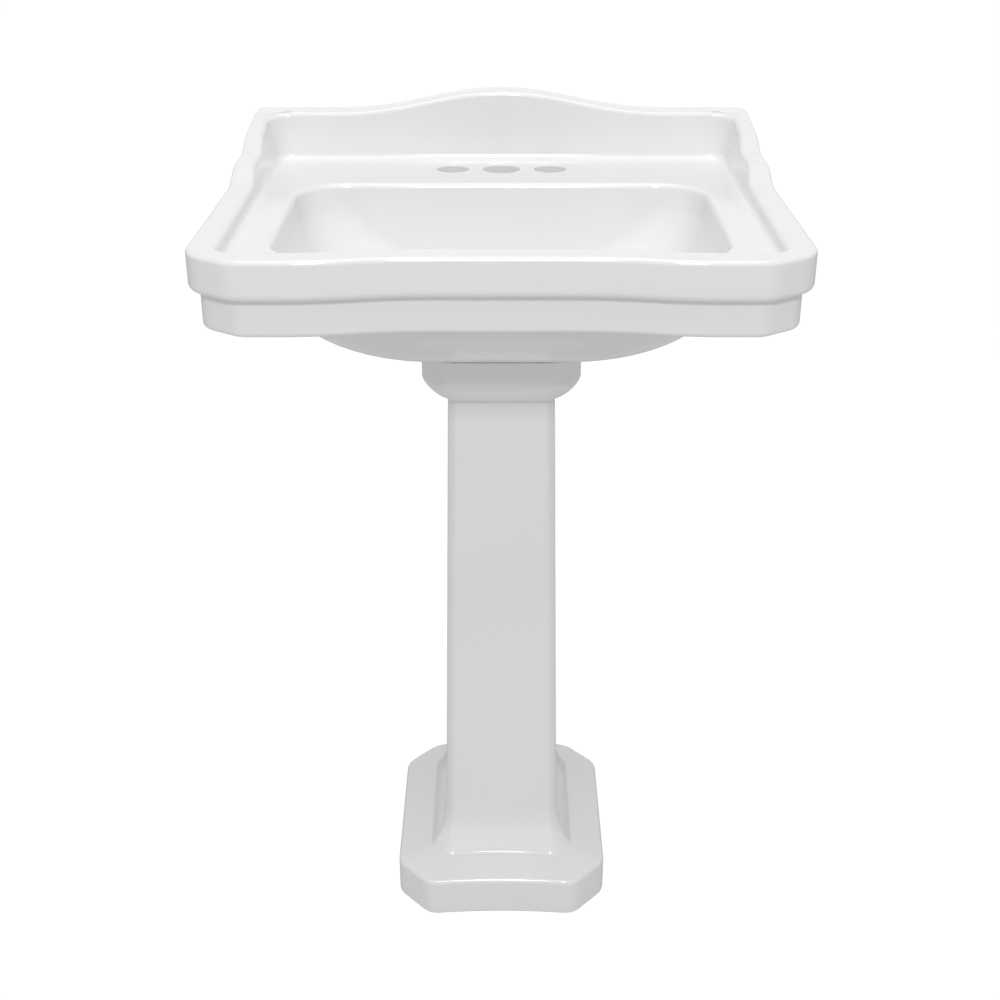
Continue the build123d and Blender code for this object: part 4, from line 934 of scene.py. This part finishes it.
def buildSlipNut(name, node, group, sockets):
    n = slipNut
    low, high = [Vector(corner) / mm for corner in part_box(node)]
    centre = (low + high) / 2
    angles = np.linspace(0, 2 * math.pi, n["steps"], endpoint=False)
    profile = [(low.z, n["bore"]), (low.z, n["outer"] - n["edge"]), (low.z + n["edge"], n["outer"]),
               (high.z - n["edge"], n["outer"]), (high.z, n["outer"] - n["edge"]), (high.z, n["lipBore"]),
               (high.z - n["lip"], n["lipBore"]), (high.z - n["lip"], n["bore"])]
    rings = [np.column_stack([centre.x + r * np.cos(angles), centre.y + r * np.sin(angles), np.full(len(angles), z)])
             for z, r in profile]
    nut = ringSolid(name, rings, True)
    fixNormals(nut)
    maker = nut.modifiers.new("ribs", "NODES")
    maker.node_group = group
    height = (high.z - low.z - 2 * n["ribTrim"]) * mm
    for key, value in (("Rib Count", n["ribs"]), ("Rib Radius", n["ribRadius"] * mm), ("Rib Height", height),
                       ("Ring Radius", n["outer"] * mm), ("Centre", tuple(centre * mm)),
                       ("Finish", finishes["chrome"])):
        maker[sockets[key]] = value
    applyModifiers(nut)
    smoothShade(nut, sharpDeg["nut"])
    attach(nut, "stand")
    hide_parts(node)
    return nut


ribGroup, ribSockets = ribTree()
for nutName, nutNode in (("inletSlipNut", "trap_inlet_nut"), ("unionSlipNut", "trap_union_nut")):
    nutObject = buildSlipNut(nutName, nutNode, ribGroup, ribSockets)
    print(nutName, len(nutObject.data.polygons), "faces")


# floor, light and camera

studio = {"floorHalf": 12.0, "keyPower": 120.0, "keySize": 0.8, "softPower": 62.0, "softSize": 3.0,
          "worldLevel": 0.46, "floorGlow": 1.12, "glowShare": 0.86,
          "keyPlace": (0.0, -4.9, 4.6), "softPlace": (0.0, -0.6, 5.0), "aim": (0, 0, 0.55)}
photoView = {"sensor": 36.0, "lens": 52.5, "shiftX": -0.0014, "place": (0.0, -1.377216, 1.155692),
             "downDeg": 26.3065}


def shadowFloor():
    # plain pale floor: white to the camera, with the object's shadow on it
    material, tree = newMaterial("paleFloor")
    rays = addNode(tree, "ShaderNodeLightPath")
    lit = addNode(tree, "ShaderNodeBsdfDiffuse", {}, Color=linearColour("#DADADA"))
    glow = addNode(tree, "ShaderNodeEmission", {}, Color=linearColour("#FFFFFF"), Strength=studio["floorGlow"])
    seen = addNode(tree, "ShaderNodeMath", {"operation": "MULTIPLY"}, i0=rays.outputs["Is Camera Ray"],
                   i1=studio["glowShare"])
    mix = addNode(tree, "ShaderNodeMixShader", {}, Fac=seen.outputs[0], i1=lit.outputs[0], i2=glow.outputs[0])
    addNode(tree, "ShaderNodeOutputMaterial", {}, Surface=mix.outputs[0])
    return material


h = studio["floorHalf"]
floor = meshObject("floor", [(-h, -h, 0), (h, -h, 0), (h, h, 0), (-h, h, 0)], [(0, 1, 2, 3)])
floor.data.materials.append(shadowFloor())

world = bpy.data.worlds.new("softStudio")
scene.world = world
world.use_nodes = True
tree = world.node_tree
tree.nodes.clear()
rays = addNode(tree, "ShaderNodeLightPath")
seenA = addNode(tree, "ShaderNodeMath", {"operation": "MAXIMUM"}, i0=rays.outputs["Is Camera Ray"],
                i1=rays.outputs["Is Glossy Ray"])
seenB = addNode(tree, "ShaderNodeMath", {"operation": "MAXIMUM"}, i0=seenA.outputs[0],
                i1=rays.outputs["Is Transmission Ray"])
ambient = addNode(tree, "ShaderNodeBackground", {}, Color=linearColour("#FFFFFF"), Strength=studio["worldLevel"])
white = addNode(tree, "ShaderNodeBackground", {}, Color=linearColour("#FFFFFF"), Strength=1.0)
mix = addNode(tree, "ShaderNodeMixShader", {}, Fac=seenB.outputs[0], i1=ambient.outputs[0], i2=white.outputs[0])
addNode(tree, "ShaderNodeOutputWorld", {}, Surface=mix.outputs[0])


def areaLight(name, place, target, size, power):
    data = bpy.data.lights.new(name, "AREA")
    data.shape = "SQUARE"
    data.size = size
    data.energy = power
    lamp = bpy.data.objects.new(name, data)
    scene.collection.objects.link(lamp)
    lamp.location = place
    lamp.rotation_euler = (Vector(target) - Vector(place)).to_track_quat("-Z", "Y").to_euler()


areaLight("keyLight", studio["keyPlace"], studio["aim"], studio["keySize"], studio["keyPower"])
areaLight("softLight", studio["softPlace"], studio["aim"], studio["softSize"], studio["softPower"])

camera = bpy.data.cameras.new("photoCamera")
camera.sensor_width = photoView["sensor"]
camera.lens = photoView["lens"]
camera.shift_x = photoView["shiftX"]
cameraObject = bpy.data.objects.new("photoCamera", camera)
scene.collection.objects.link(cameraObject)
cameraObject.location = photoView["place"]
cameraObject.rotation_euler = (math.radians(90 - photoView["downDeg"]), 0, 0)
scene.camera = cameraObject
scene.view_settings.view_transform = "Standard"
